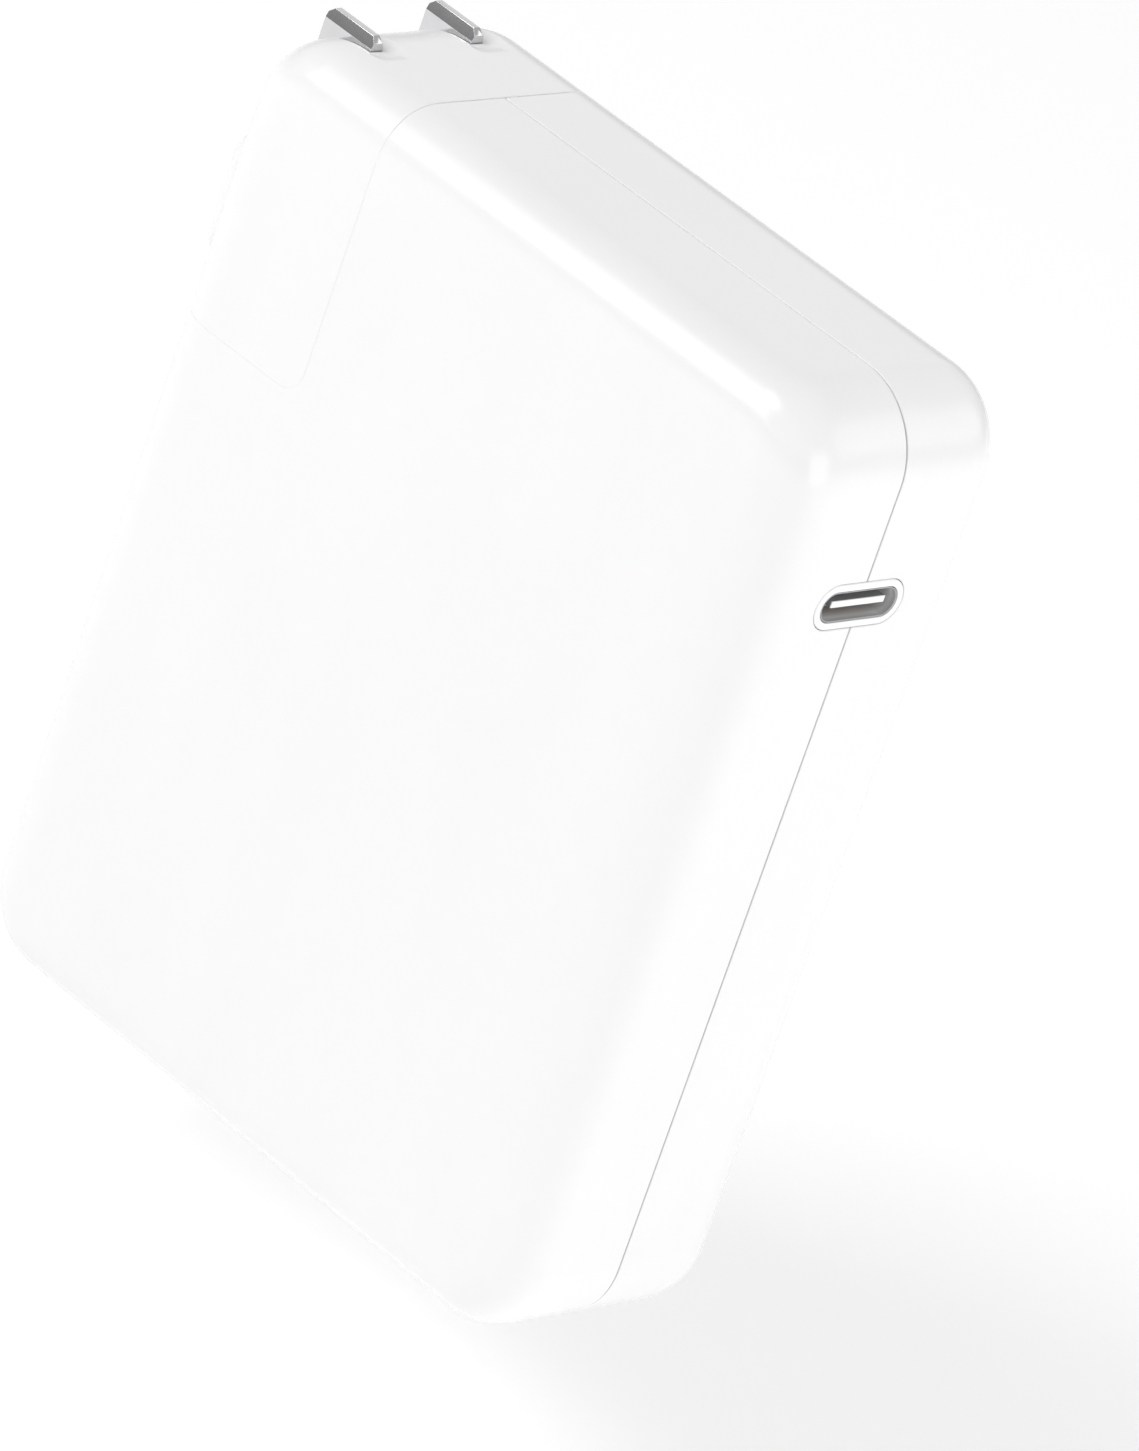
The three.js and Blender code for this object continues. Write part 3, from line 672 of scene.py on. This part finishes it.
BLADE_Y = -(blade_low.y + blade_high.y) / 2
BOSS_HALF, BOSS_RISE, BOSS_CORNER, BOSS_ROUND = 9.3, 6.6, 3.0, 1.2
BOSS_PROUD = LEFT - head_low.x
SLOT_BOTTOM = blade_low.z - 0.3
SLOT_RIGHT = blade_high.x + 0.06
SLOT_HALF = 0.8  # half the width of a blade's slot
SLOT_ROUND = 0.08
SCOOP_DEPTH = 0.6  # of the smooth finger scoop round each blade's right edge
SCOOP_SPREAD = 1.7  # how far it reaches in front of the slot and behind it
SCOOP_LEFT, SCOOP_RIGHT = 6.5, 3.0  # and from its deepest point towards either end
SCOOP_STEPS = 10
ROW_APART = 0.03  # the least distance between two of the cover's sections
BAY_LEFT, BAY_TOP, BAY_HALF = -27.0, 93.8, 11.4  # the cover's main hollow
SHELF = PIVOT.z - 5.5  # top of the lower hollow beside it
HUB_ROOM, HUB_ROOM_HALF = 3.8, 10.8  # radius and half length of the blade carrier's room
AXLE_HOLE, AXLE_HOLE_HALF = 1.1, 12.6
OVERLAP = 0.1  # of two cutters that open into each other


def boss_span(y):
    """Half the boss's height at that y, where its rounded corners narrow it."""
    over = max(abs(y) - BOSS_HALF + BOSS_CORNER, 0)
    return BOSS_RISE - BOSS_CORNER + math.sqrt(max(BOSS_CORNER**2 - over**2, 0))


def boss_height(y, z):
    """How proud the boss stands of the left wall."""
    u = abs(y) - BOSS_HALF + BOSS_CORNER
    v = abs(z - PIVOT.z) - BOSS_RISE + BOSS_CORNER
    outside = math.hypot(max(u, 0), max(v, 0)) + min(max(u, v), 0) - BOSS_CORNER
    return BOSS_PROUD - round_over(max(-outside, 0), BOSS_ROUND)


def scoop(x, y):
    """How deep the scoop is there: it fades smoothly to every side."""
    aside = max(abs(abs(y) - BLADE_Y) - SLOT_HALF, 0) / SCOOP_SPREAD
    along = (SLOT_RIGHT - x) / SCOOP_LEFT if x < SLOT_RIGHT else (x - SLOT_RIGHT) / SCOOP_RIGHT
    if aside >= 1 or along >= 1:
        return 0.0
    return SCOOP_DEPTH * (1 + math.cos(math.pi * aside)) / 2 * (1 + math.cos(math.pi * along)) / 2


def head_section(y, boss, slot):
    """The cover's outline in X and Z at one y: boss and slot say what that stretch has."""
    depth = HALF - abs(y)
    inset, gap = edge_inset(depth, EDGE), head_gap(depth)
    left, top = LEFT + inset, TOP - inset
    low, right = HEAD_BOTTOM + gap, HEAD_RIGHT - gap
    ease = CUT_ROUND
    off_slot = max(abs(abs(y) - BLADE_Y) - SLOT_HALF, 0)
    sink = round_over(off_slot, SLOT_ROUND)
    points = arc((left + ease, low + ease), ease, 270, 180, ROUND_STEPS)
    rise = boss_span(y if boss else BOSS_HALF)
    bottom, crown = PIVOT.z - rise, PIVOT.z + rise
    split = max(SLOT_BOTTOM, bottom + 1)
    points.append((left, bottom))
    if boss:
        room = split - SLOT_ROUND - bottom
        full = SLOT_BOTTOM - SLOT_ROUND - PIVOT.z + BOSS_RISE
        for _, across in quarter(6):
            z = bottom + room * BOSS_ROUND * across / full
            points.append((LEFT - boss_height(y, z), z))
        for along, _ in quarter():
            z = split - SLOT_ROUND * (1 - along)
            near = math.hypot(split - z, off_slot)
            points.append((LEFT - boss_height(y, z) + round_over(near, SLOT_ROUND), z))
    if boss and not slot:
        room = crown - split
        full = PIVOT.z + BOSS_RISE - SLOT_BOTTOM
        for _, across in reversed(quarter(6)):
            z = crown - room * BOSS_ROUND * across / full
            points.append((LEFT - boss_height(y, z) + sink, z - (sink if across == 0 else 0)))
    if slot:
        points.append((SLOT_RIGHT, SLOT_BOTTOM))
    else:
        points.append((left + sink, crown - sink))
        corner = arc((LEFT + CORNER, TOP - CORNER), CORNER - inset - sink, 180, 90, CORNER_STEPS)
        points += [(x, z - scoop(x, y)) for x, z in corner[:-1]]
    for along, across in quarter():
        x = SLOT_RIGHT + SLOT_ROUND * across
        near = math.hypot(x - SLOT_RIGHT, off_slot)
        points.append((x, top - round_over(near, SLOT_ROUND) - scoop(x, y)))
    for i in range(1, SCOOP_STEPS + 1):
        x = SLOT_RIGHT + SLOT_ROUND + (SCOOP_RIGHT - SLOT_ROUND) * i / SCOOP_STEPS
        points.append((x, top - scoop(x, y)))
    points += arc((right - ease, top - ease), ease, 90, 0, ROUND_STEPS)
    corner = HEAD_CORNER - HEAD_GAP
    points += arc((right - corner, low + corner), corner, 0, -90, CORNER_STEPS // 2)
    return points


def head_stack():
    """The cover's sections from the front face to the back, as bands of alike sections."""
    fillet = [HALF - depth for depth in edge_depths(EDGE)]
    slot_out, slot_in = BLADE_Y + SLOT_HALF, BLADE_Y - SLOT_HALF
    rims = [SLOT_ROUND * across for _, across in quarter(3)]
    bosses = [BOSS_HALF - BOSS_ROUND * across for _, across in quarter(6)]
    scoops = [SLOT_ROUND + (SCOOP_SPREAD - SLOT_ROUND) * i / SCOOP_STEPS for i in range(1, SCOOP_STEPS + 1)]
    everywhere = (fillet + bosses + [slot_out + away for away in rims + scoops]
                  + [slot_in - away for away in rims + scoops] + [HALF - EDGE])
    limits = [(HALF, BOSS_HALF, (False, False)), (BOSS_HALF, slot_out, (True, False)),
              (slot_out, slot_in, (True, True)), (slot_in, 0, (True, False))]
    bands = []
    for high, low, kind in limits:
        rows = [low, high]
        for y in everywhere:
            if low < y < high and min(abs(y - row) for row in rows) > ROW_APART:
                rows.append(y)
        bands.append((sorted(rows, reverse=True), kind))
    front = [([-y for y in ys], kind) for ys, kind in bands]
    back = [(list(reversed(ys)), kind) for ys, kind in reversed(bands)]
    middle = (front[-1][0] + back[0][0][1:], front[-1][1])
    return front[:-1] + [middle] + back[1:]


def stacked(name, bands, section):
    """A closed skin through sections along Y. Where two bands meet, the points that both have are
    shared and the outline's change becomes a flat wall."""
    vertices, faces = [], []
    previous = None
    for ys, kind in bands:
        for row, y in enumerate(ys):
            points = section(y, *kind)
            if previous is not None and row == 0:
                known = {(round(vertices[i][0], 4), round(vertices[i][2], 4)): i for i in previous}
                ring = []
                for x, z in points:
                    found = known.get((round(x, 4), round(z, 4)))
                    if found is None:
                        found = len(vertices)
                        vertices.append((x, y, z))
                    ring.append(found)
                faces += wall_faces(previous, ring)
            else:
                ring = list(range(len(vertices), len(vertices) + len(points)))
                vertices += [(x, y, z) for x, z in points]
                if previous is None:
                    faces.append(ring)
                else:
                    for i in range(len(ring)):
                        j = (i + 1) % len(ring)
                        faces.append([previous[i], previous[j], ring[j], ring[i]])
            previous = ring
    faces.append(previous)
    return mesh_of(name, vertices, faces)


def wall_faces(first, second):
    """The flat faces between two rings at one depth that share some of their points."""
    places = {index: i for i, index in enumerate(first)}
    shared = [i for i, index in enumerate(second) if index in places]
    faces = []
    for a, b in zip(shared, shared[1:] + shared[:1]):
        new = [second[k % len(second)] for k in range(a + 1, b + (len(second) if b <= a else 0))]
        start, end = places[second[a]], places[second[b]]
        old = [first[k % len(first)] for k in range(start + 1, end + (len(first) if end <= start else 0))]
        if new or old:
            faces.append([second[a], *old, second[b], *reversed(new)])
    return faces


def head_cover():
    """The plug head's cover, hollowed for the contacts, the blade carrier and the axle."""
    outside = stacked("head", head_stack(), head_section)
    centre = (PIVOT.x, PIVOT.z)
    bay = block("bay", (BAY_LEFT, -BAY_HALF, HEAD_BOTTOM - 1), (HEAD_RIGHT + 1, BAY_HALF, BAY_TOP))
    lower_half = BAY_HALF - 0.2
    lower_bay = block("bay", (LEFT + WALL, -lower_half, HEAD_BOTTOM - 1),
                      (BAY_LEFT + OVERLAP, lower_half, SHELF))
    room = lathe("hub", rod(HUB_ROOM, -HUB_ROOM_HALF, HUB_ROOM_HALF), along_y, centre, 64)
    rise = HUB_ROOM - 0.01
    way = block("way", (PIVOT.x, -HUB_ROOM_HALF, PIVOT.z - rise),
                (BAY_LEFT + OVERLAP, HUB_ROOM_HALF, PIVOT.z + rise))
    bore = lathe("bore", rod(AXLE_HOLE, -AXLE_HOLE_HALF, AXLE_HOLE_HALF), along_y, centre, 32)
    return carve(outside, bay, lower_bay, room, way, bore)


piece("head_cover_skin", head_cover(), "plug_head", "white_plastic", MATERIALS["white_plastic"], "head_cover")


# ---- Blades and their carrier --------------------------------------------------------------------

TIP_NIP = 0.55  # the tip's corners, cut at 45 degrees
TAPER, TAPER_IN = 1.1, 0.37  # height of the tip's tapered faces, and how far they lean in
EYE = 1.7  # radius of the hole in a blade's root
BLADE_CREASE = math.radians(12)
CARRIER_CORE, CARRIER_BORE, CARRIER_RIM = 1.5, 1.1, 0.3
CARRIER_SLOT = 0.85  # half the width of the gap for a blade


def blade(name, y):
    """A stamped blade folded straight up: a half-round root with an eye, flat sides, a tapered tip."""
    half = (blade_high.x - blade_low.x) / 2
    thin = (blade_high.y - blade_low.y) / 2
    tip = blade_high.z
    outline = arc((PIVOT.x, PIVOT.z), half, 180, 360, 32)
    outline += [(PIVOT.x + half, tip - TIP_NIP), (PIVOT.x + half - TIP_NIP, tip),
                (PIVOT.x - half + TIP_NIP, tip), (PIVOT.x - half, tip - TIP_NIP)]
    mesh = skin(name, [(y - thin, outline), (y + thin, outline)], along_y)
    bm = bmesh.new()
    bm.from_mesh(mesh)
    for side in (-1, 1):
        normal = Vector((0, side * TAPER, TAPER_IN)).normalized()
        start = (0, y + side * thin, tip - TAPER)
        cut = bmesh.ops.bisect_plane(bm, geom=bm.verts[:] + bm.edges[:] + bm.faces[:], plane_co=start,
                                     plane_no=normal, clear_outer=True)
        rim = [edge for edge in cut["geom_cut"] if isinstance(edge, bmesh.types.BMEdge)]
        bmesh.ops.contextual_create(bm, geom=rim)
    bmesh.ops.recalc_face_normals(bm, faces=bm.faces)
    bm.to_mesh(mesh)
    bm.free()
    return carve(mesh, lathe("eye", rod(EYE, y - 2, y + 2), along_y, (PIVOT.x, PIVOT.z), 40))


for pole, y in (("neutral", -BLADE_Y), ("live", BLADE_Y)):
    piece(f"blade_{pole}_body", blade("blade", y), "blades", "blade_metal", MATERIALS["blade_metal"],
          f"blade_{pole}", edge=0.05, crease=BLADE_CREASE)


def carrier():
    """The moulded hub: a cheek each side of either blade, on a thin core with a bore for the axle."""
    low, high = span("blade_carrier")
    radius = (high.x - low.x) / 2
    slot_in, slot_out = BLADE_Y - CARRIER_SLOT, BLADE_Y + CARRIER_SLOT
    loop = [(CARRIER_BORE, low.y)]
    for start, end in ((low.y, -slot_out), (-slot_in, slot_in), (slot_out, high.y)):
        cheek = soft_ends(radius, start, end, CARRIER_RIM)[1:-1]
        loop += [(CARRIER_CORE, start)] + cheek + [(CARRIER_CORE, end)]
    return lathe("carrier", loop + [(CARRIER_BORE, high.y)], along_y, (PIVOT.x, PIVOT.z), 72)


piece("blade_carrier_hub", carrier(), "blades", "white_plastic", MATERIALS["white_plastic"], "blade_carrier")


# ---- Turned parts --------------------------------------------------------------------------------

AXES = {"x": along_x, "y": along_y, "z": along_z}


def bar_of(node, axis):
    """A CAD bar's radius, where it starts and ends along its axis, and its centre across it."""
    low, high = span(node)
    first, second = [i for i in range(3) if "xyz"[i] != axis]
    along = "xyz".index(axis)
    middle = (low + high) / 2
    return (high[first] - low[first]) / 2, low[along], high[along], (middle[first], middle[second])


def turned(name, profile, axis, centre, body, slot, *nodes):
    """A turned solid as a finished piece."""
    piece(name, lathe(name, profile, AXES[axis], centre, 64), body, slot, MATERIALS[slot], *nodes)


def round_bar(name, node, axis, body, slot, rim):
    """A CAD bar turned again with rounded rims."""
    radius, start, end, centre = bar_of(node, axis)
    turned(name, soft_ends(radius, start, end, rim), axis, centre, body, slot, node)


def inlet_pin(node):
    """A plated pin with a bullet nose."""
    radius, start, end, centre = bar_of(node, "z")
    bullet = 1.3
    angles = [math.pi / 20 * i for i in range(11)]
    nose = [(radius * math.cos(a), end - bullet + bullet * math.sin(a)) for a in angles]
    profile = soft_ends(radius, start, end, 0.2)[:6] + nose
    turned(f"{node}_turned", profile, "z", centre, "adapter", "blade_metal", node)


def stud():
    """The stud that locks the head on: a flat head, a plain neck and a threaded end."""
    radius, start, end, centre = bar_of("lock_stud", "x")
    neck, thread, pitch, turns = 2.0, 0.22, 0.5, 5
    under = start + 1.1
    profile = [(0, start)] + soft_ends(radius, start, under, 0.3)[1:-1] + [(neck, under)]
    first = end - 0.25 - pitch * turns
    for i in range(turns):
        profile += [(neck, first + pitch * (i + 0.1)), (neck - thread, first + pitch * (i + 0.6))]
    profile += [(neck, end - 0.25), (neck - 0.25, end), (0, end)]
    turned("lock_stud_turned", profile, "x", centre, "adapter", "blade_metal", "lock_stud")


def capacitor(node, axis, foot_first):
    """A can in a shrink sleeve: beaded near its foot, its scored top left bare."""
    radius, start, end, centre = bar_of(node, axis)
    foot, top = (start, end) if foot_first else (end, start)
    way = 1 if top > foot else -1
    lip, bead, rim = 1.1, 0.45, 0.7
    sleeve = [(0, 0.3), (radius - lip - 0.6, 0.3), (radius - lip - 0.3, 0.0), (radius - rim, 0.0)]
    sleeve += [(radius - rim + rim * s, rim * c) for s, c in quarter(5)][1:]
    sleeve += [(radius, 1.8), (radius - bead * 0.6, 2.1), (radius - bead, 2.5), (radius - bead, 2.7),
               (radius - bead * 0.6, 3.1), (radius, 3.4)]
    length = abs(top - foot)
    sleeve += [(radius - rim * c, length - rim + rim * s) for s, c in quarter(5)]
    sleeve += [(radius - lip, length - 0.1), (radius - lip, length - 0.5), (0, length - 0.5)]
    turned(f"{node}_sleeve", [(r, foot + way * s) for r, s in sleeve], axis, centre, "adapter",
           "capacitor_sleeve", node)
    lid_radius, face = radius - lip - 0.02, length - 0.15
    lid = [(0, face - 0.3), (lid_radius, face - 0.3), (lid_radius, face - 0.1), (lid_radius - 0.2, face),
           (0, face)]
    disc = lathe("lid", [(r, foot + way * s) for r, s in lid], AXES[axis], centre, 64)
    reach, half, deep = lid_radius * 0.7, 0.13, 0.12
    scores = []
    for du, dv in ((reach, half), (half, reach)):
        ends = [AXES[axis](centre[0] + k * du, centre[1] + k * dv, foot + way * (face + k * deep))
                for k in (-1, 1)]
        low = tuple(min(a, b) for a, b in zip(*ends))
        high = tuple(max(a, b) for a, b in zip(*ends))
        scores.append(block("score", low, high))
    piece(f"{node}_top", carve(disc, *scores), "adapter", "spreader_metal", MATERIALS["spreader_metal"], node)


def fuse():
    """A ceramic cartridge between two pressed end caps."""
    radius, start, end, centre = bar_of("fuse", "z")
    cap = 2.6
    ceramic = soft_ends(radius - 0.2, start + 0.4, end - 0.4, 0.1)
    turned("fuse_tube", ceramic, "z", centre, "adapter", "fuse_ceramic", "fuse")
    caps = [lathe("cap", soft_ends(radius, a, b, 0.35), along_z, centre, 64)
            for a, b in ((start, start + cap), (end - cap, end))]
    piece("fuse_caps", joined("caps", *caps), "adapter", "steel", MATERIALS["steel"], "fuse")


def filter_choke():
    """A ferrite ring with two windings of thick enamelled wire, one above and one below."""
    low, high = span("filter_choke_core")
    middle = (low + high) / 2
    outer, inner, half = (high.x - low.x) / 2, 4.2, (high.y - low.y) / 2
    section = rounded_rectangle(outer - inner, 2 * half, 0.7, ((outer + inner) / 2, middle.y), 4)
    turned("filter_choke_ring", section, "y", (middle.x, middle.z), "adapter", "ferrite", "filter_choke_core")
    wire, turns, first, last = 0.48, 9, 25, 155
    round_it = 2.1 * wire
    shape = rounded_rectangle(outer - inner + round_it, 2 * half + round_it, 1.0, ((outer + inner) / 2, 0), 4)
    for name, side in (("upper", 1), ("lower", -1)):
        loops = []
        for i in range(turns):
            a = math.radians(first + (last - first) * i / (turns - 1)) * side
            out = Vector((math.cos(a), 0, math.sin(a)))
            path = [middle + out * radius + Vector((0, along, 0)) for radius, along in shape]
            loops.append((path, out.cross(Vector((0, 1, 0)))))
        piece(f"filter_choke_turns_{name}", hoops("turns", loops, wire), "adapter", "copper",
              MATERIALS["copper"], f"filter_choke_winding_{name}")


round_bar("hinge_axle_turned", "hinge_axle", "y", "plug_head", "steel", 0.2)
round_bar("surge_disc_dipped", "surge_disc", "x", "adapter", "blue_coat", 1.5)
round_bar("safety_capacitor_dipped", "safety_capacitor", "x", "adapter", "blue_coat", 1.35)
inlet_pin("inlet_pin_neutral")
inlet_pin("inlet_pin_live")
stud()
for node in ("bulk_capacitor_1", "bulk_capacitor_2"):
    capacitor(node, "z", True)
for node in ("output_capacitor_1", "output_capacitor_2", "output_capacitor_3"):
    capacitor(node, "y", False)
fuse()
filter_choke()


# ---- The other CAD nodes -------------------------------------------------------------------------

SLOT_OF = {
    "usb_c_contacts_upper": "contact_gold", "usb_c_contacts_lower": "contact_gold",
    "usb_c_board": "board_green", "port_controller": "black_plastic", "head_base": "white_plastic",
    "stud_plate": "steel", "detent_spring": "steel", "socket_insulator": "black_plastic",
    "contact_spring_neutral": "copper", "contact_spring_live": "copper",
    "socket_sleeve_neutral": "copper", "socket_sleeve_live": "copper",
    "inlet_lead_neutral": "blue_coat", "inlet_lead_live": "brown_wire",
    "inlet_housing": "black_plastic", "stud_nut": "steel", "ground_strap": "copper",
    "main_board": "board_green", "rear_insulation": "black_plastic", "rear_heat_spreader": "spreader_metal",
    "front_insulation": "black_plastic", "front_heat_spreader": "spreader_metal",
    "transformer_core": "ferrite", "transformer_winding": "coil_tape",
    "boost_choke_core": "ferrite", "boost_choke_winding": "coil_tape",
    "filter_capacitor": "film_case", "bridge_rectifier": "black_plastic",
    "power_switch_1": "black_plastic", "power_switch_2": "black_plastic",
    "rectifier_board": "board_green", "output_rectifier_1": "black_plastic",
    "output_rectifier_2": "black_plastic",
}


def dress(node, slot):
    """A CAD node kept as it is, with eased edges and its own finish."""
    thing = frame["nodes"][node]
    thing.data.materials.clear()
    thing.data.materials.append(MATERIALS[slot])
    thing.modifiers.new("Welded", "WELD").merge_threshold = 1e-6
    flat = thing.modifiers.new("Flat faces", "DECIMATE")
    flat.decimate_type, flat.angle_limit = "DISSOLVE", math.radians(1)
    ease(thing, 0.08)
    thing.modifiers.new("Even shading", "WEIGHTED_NORMAL")


for node, slot in SLOT_OF.items():
    dress(node, slot)


# ---- Camera, light and floor ---------------------------------------------------------------------

AZIMUTH, ELEVATION, ROLL = 38.864, 24.216, 19.388  # degrees; the picture leans the object to its right
DISTANCE = 1172.84  # from the camera to the aim point
LENS, SENSOR = 325.187, 36.0
AIM_RIGHT, AIM_UP = 7.750, -4.835  # the aim point's place beside the slab's centre, in the picture


def camera():
    """The camera at its bearing from the slab, rolled and aimed as the constants above say."""
    a, e, roll = (math.radians(v) for v in (AZIMUTH, ELEVATION, ROLL))
    back = Vector((math.sin(a) * math.cos(e), -math.cos(a) * math.cos(e), math.sin(e)))
    level = Vector((0, 0, 1)).cross(back).normalized()
    upright = back.cross(level)
    right = level * math.cos(roll) + upright * math.sin(roll)
    up = upright * math.cos(roll) - level * math.sin(roll)
    aim = Vector((0, 0, TOP / 2)) + right * AIM_RIGHT + up * AIM_UP
    data = bpy.data.cameras.new("Camera")
    data.lens, data.sensor_width, data.sensor_fit = LENS, SENSOR, "AUTO"
    data.clip_start, data.clip_end = 0.05, 20
    thing = bpy.data.objects.new("Camera", data)
    thing.matrix_world = Matrix((
        (right.x, up.x, back.x, 0), (right.y, up.y, back.y, 0), (right.z, up.z, back.z, 0), (0, 0, 0, 1)))
    thing.location = (aim + back * DISTANCE) * MM
    bpy.context.scene.collection.objects.link(thing)
    bpy.context.scene.camera = thing


def softbox(name, azimuth, elevation, distance, width, height, power):
    """An area light at a bearing from the slab's centre, facing it."""
    a, e = math.radians(azimuth), math.radians(elevation)
    away = Vector((math.sin(a) * math.cos(e), -math.cos(a) * math.cos(e), math.sin(e)))
    data = bpy.data.lights.new(name, "AREA")
    data.shape, data.size, data.size_y, data.energy = "RECTANGLE", width * MM, height * MM, power
    thing = bpy.data.objects.new(name, data)
    thing.location = (Vector((0, 0, TOP / 2)) + away * distance) * MM
    thing.rotation_mode = "QUATERNION"
    thing.rotation_quaternion = away.to_track_quat("Z", "Y")
    bpy.context.scene.collection.objects.link(thing)


def surroundings(level, horizon):
    """A plain studio: seen as pure white, lighting the object evenly, and dimmer towards the horizon."""
    world = bpy.data.worlds.new("World")
    bpy.context.scene.world = world
    world.use_nodes = True
    tree = world.node_tree
    seen, lit = tree.nodes["Background"], tree.nodes.new("ShaderNodeBackground")
    seen.inputs["Color"].default_value = (1, 1, 1, 1)
    seen.inputs["Strength"].default_value = 1.0
    place, part = tree.nodes.new("ShaderNodeTexCoord"), tree.nodes.new("ShaderNodeSeparateXYZ")
    height = tree.nodes.new("ShaderNodeValToRGB")
    stops = [(0.0, level), (0.44, level), (0.50, horizon), (0.56, horizon), (0.64, level), (1.0, level)]
    elements = height.color_ramp.elements
    while len(elements) < len(stops):
        elements.new(0.5)
    for element, (where, value) in zip(elements, stops):
        element.position, element.color = where, (value, value, value, 1)
    rescale = tree.nodes.new("ShaderNodeMapRange")
    rescale.inputs["From Min"].default_value = -1
    tree.links.new(place.outputs["Generated"], part.inputs["Vector"])
    tree.links.new(part.outputs["Z"], rescale.inputs["Value"])
    tree.links.new(rescale.outputs["Result"], height.inputs["Fac"])
    tree.links.new(height.outputs["Color"], lit.inputs["Color"])
    path, mix = tree.nodes.new("ShaderNodeLightPath"), tree.nodes.new("ShaderNodeMixShader")
    tree.links.new(path.outputs["Is Camera Ray"], mix.inputs["Fac"])
    tree.links.new(lit.outputs["Background"], mix.inputs[1])
    tree.links.new(seen.outputs["Background"], mix.inputs[2])
    tree.links.new(mix.outputs["Shader"], tree.nodes["World Output"].inputs["Surface"])


def floor(drop, glow):
    """A wide pale floor below the slab, with a little light of its own."""
    side = 3000
    mesh = block("floor", (-side, -side, -drop - 5), (side, side, -drop))
    mesh.transform(Matrix.Scale(MM, 4))
    thing = link("floor", mesh)
    made = Surface("Pale sweep", 0.9)
    made.colour(made.noise(400), (0.3, (0.80, 0.80, 0.80)), (0.7, (0.82, 0.82, 0.82)))
    made.shader.inputs["Emission Color"].default_value = (1, 1, 1, 1)
    made.shader.inputs["Emission Strength"].default_value = glow
    mesh.materials.append(made.material)


camera()
surroundings(0.60, 0.27)
softbox("Key", -34, 27, 800, 420, 240, 1.15)
softbox("Window", -34, 48, 2000, 900, 700, 9.5)
softbox("Right fill", 92, 2, 800, 500, 700, 3.0)
softbox("Rear rim", 146, 27, 800, 500, 360, 0.65)
softbox("Rear glow", -141, 22, 1200, 500, 260, 0.15)
floor(14, 0.285)
bpy.context.scene.view_settings.view_transform = "Standard"
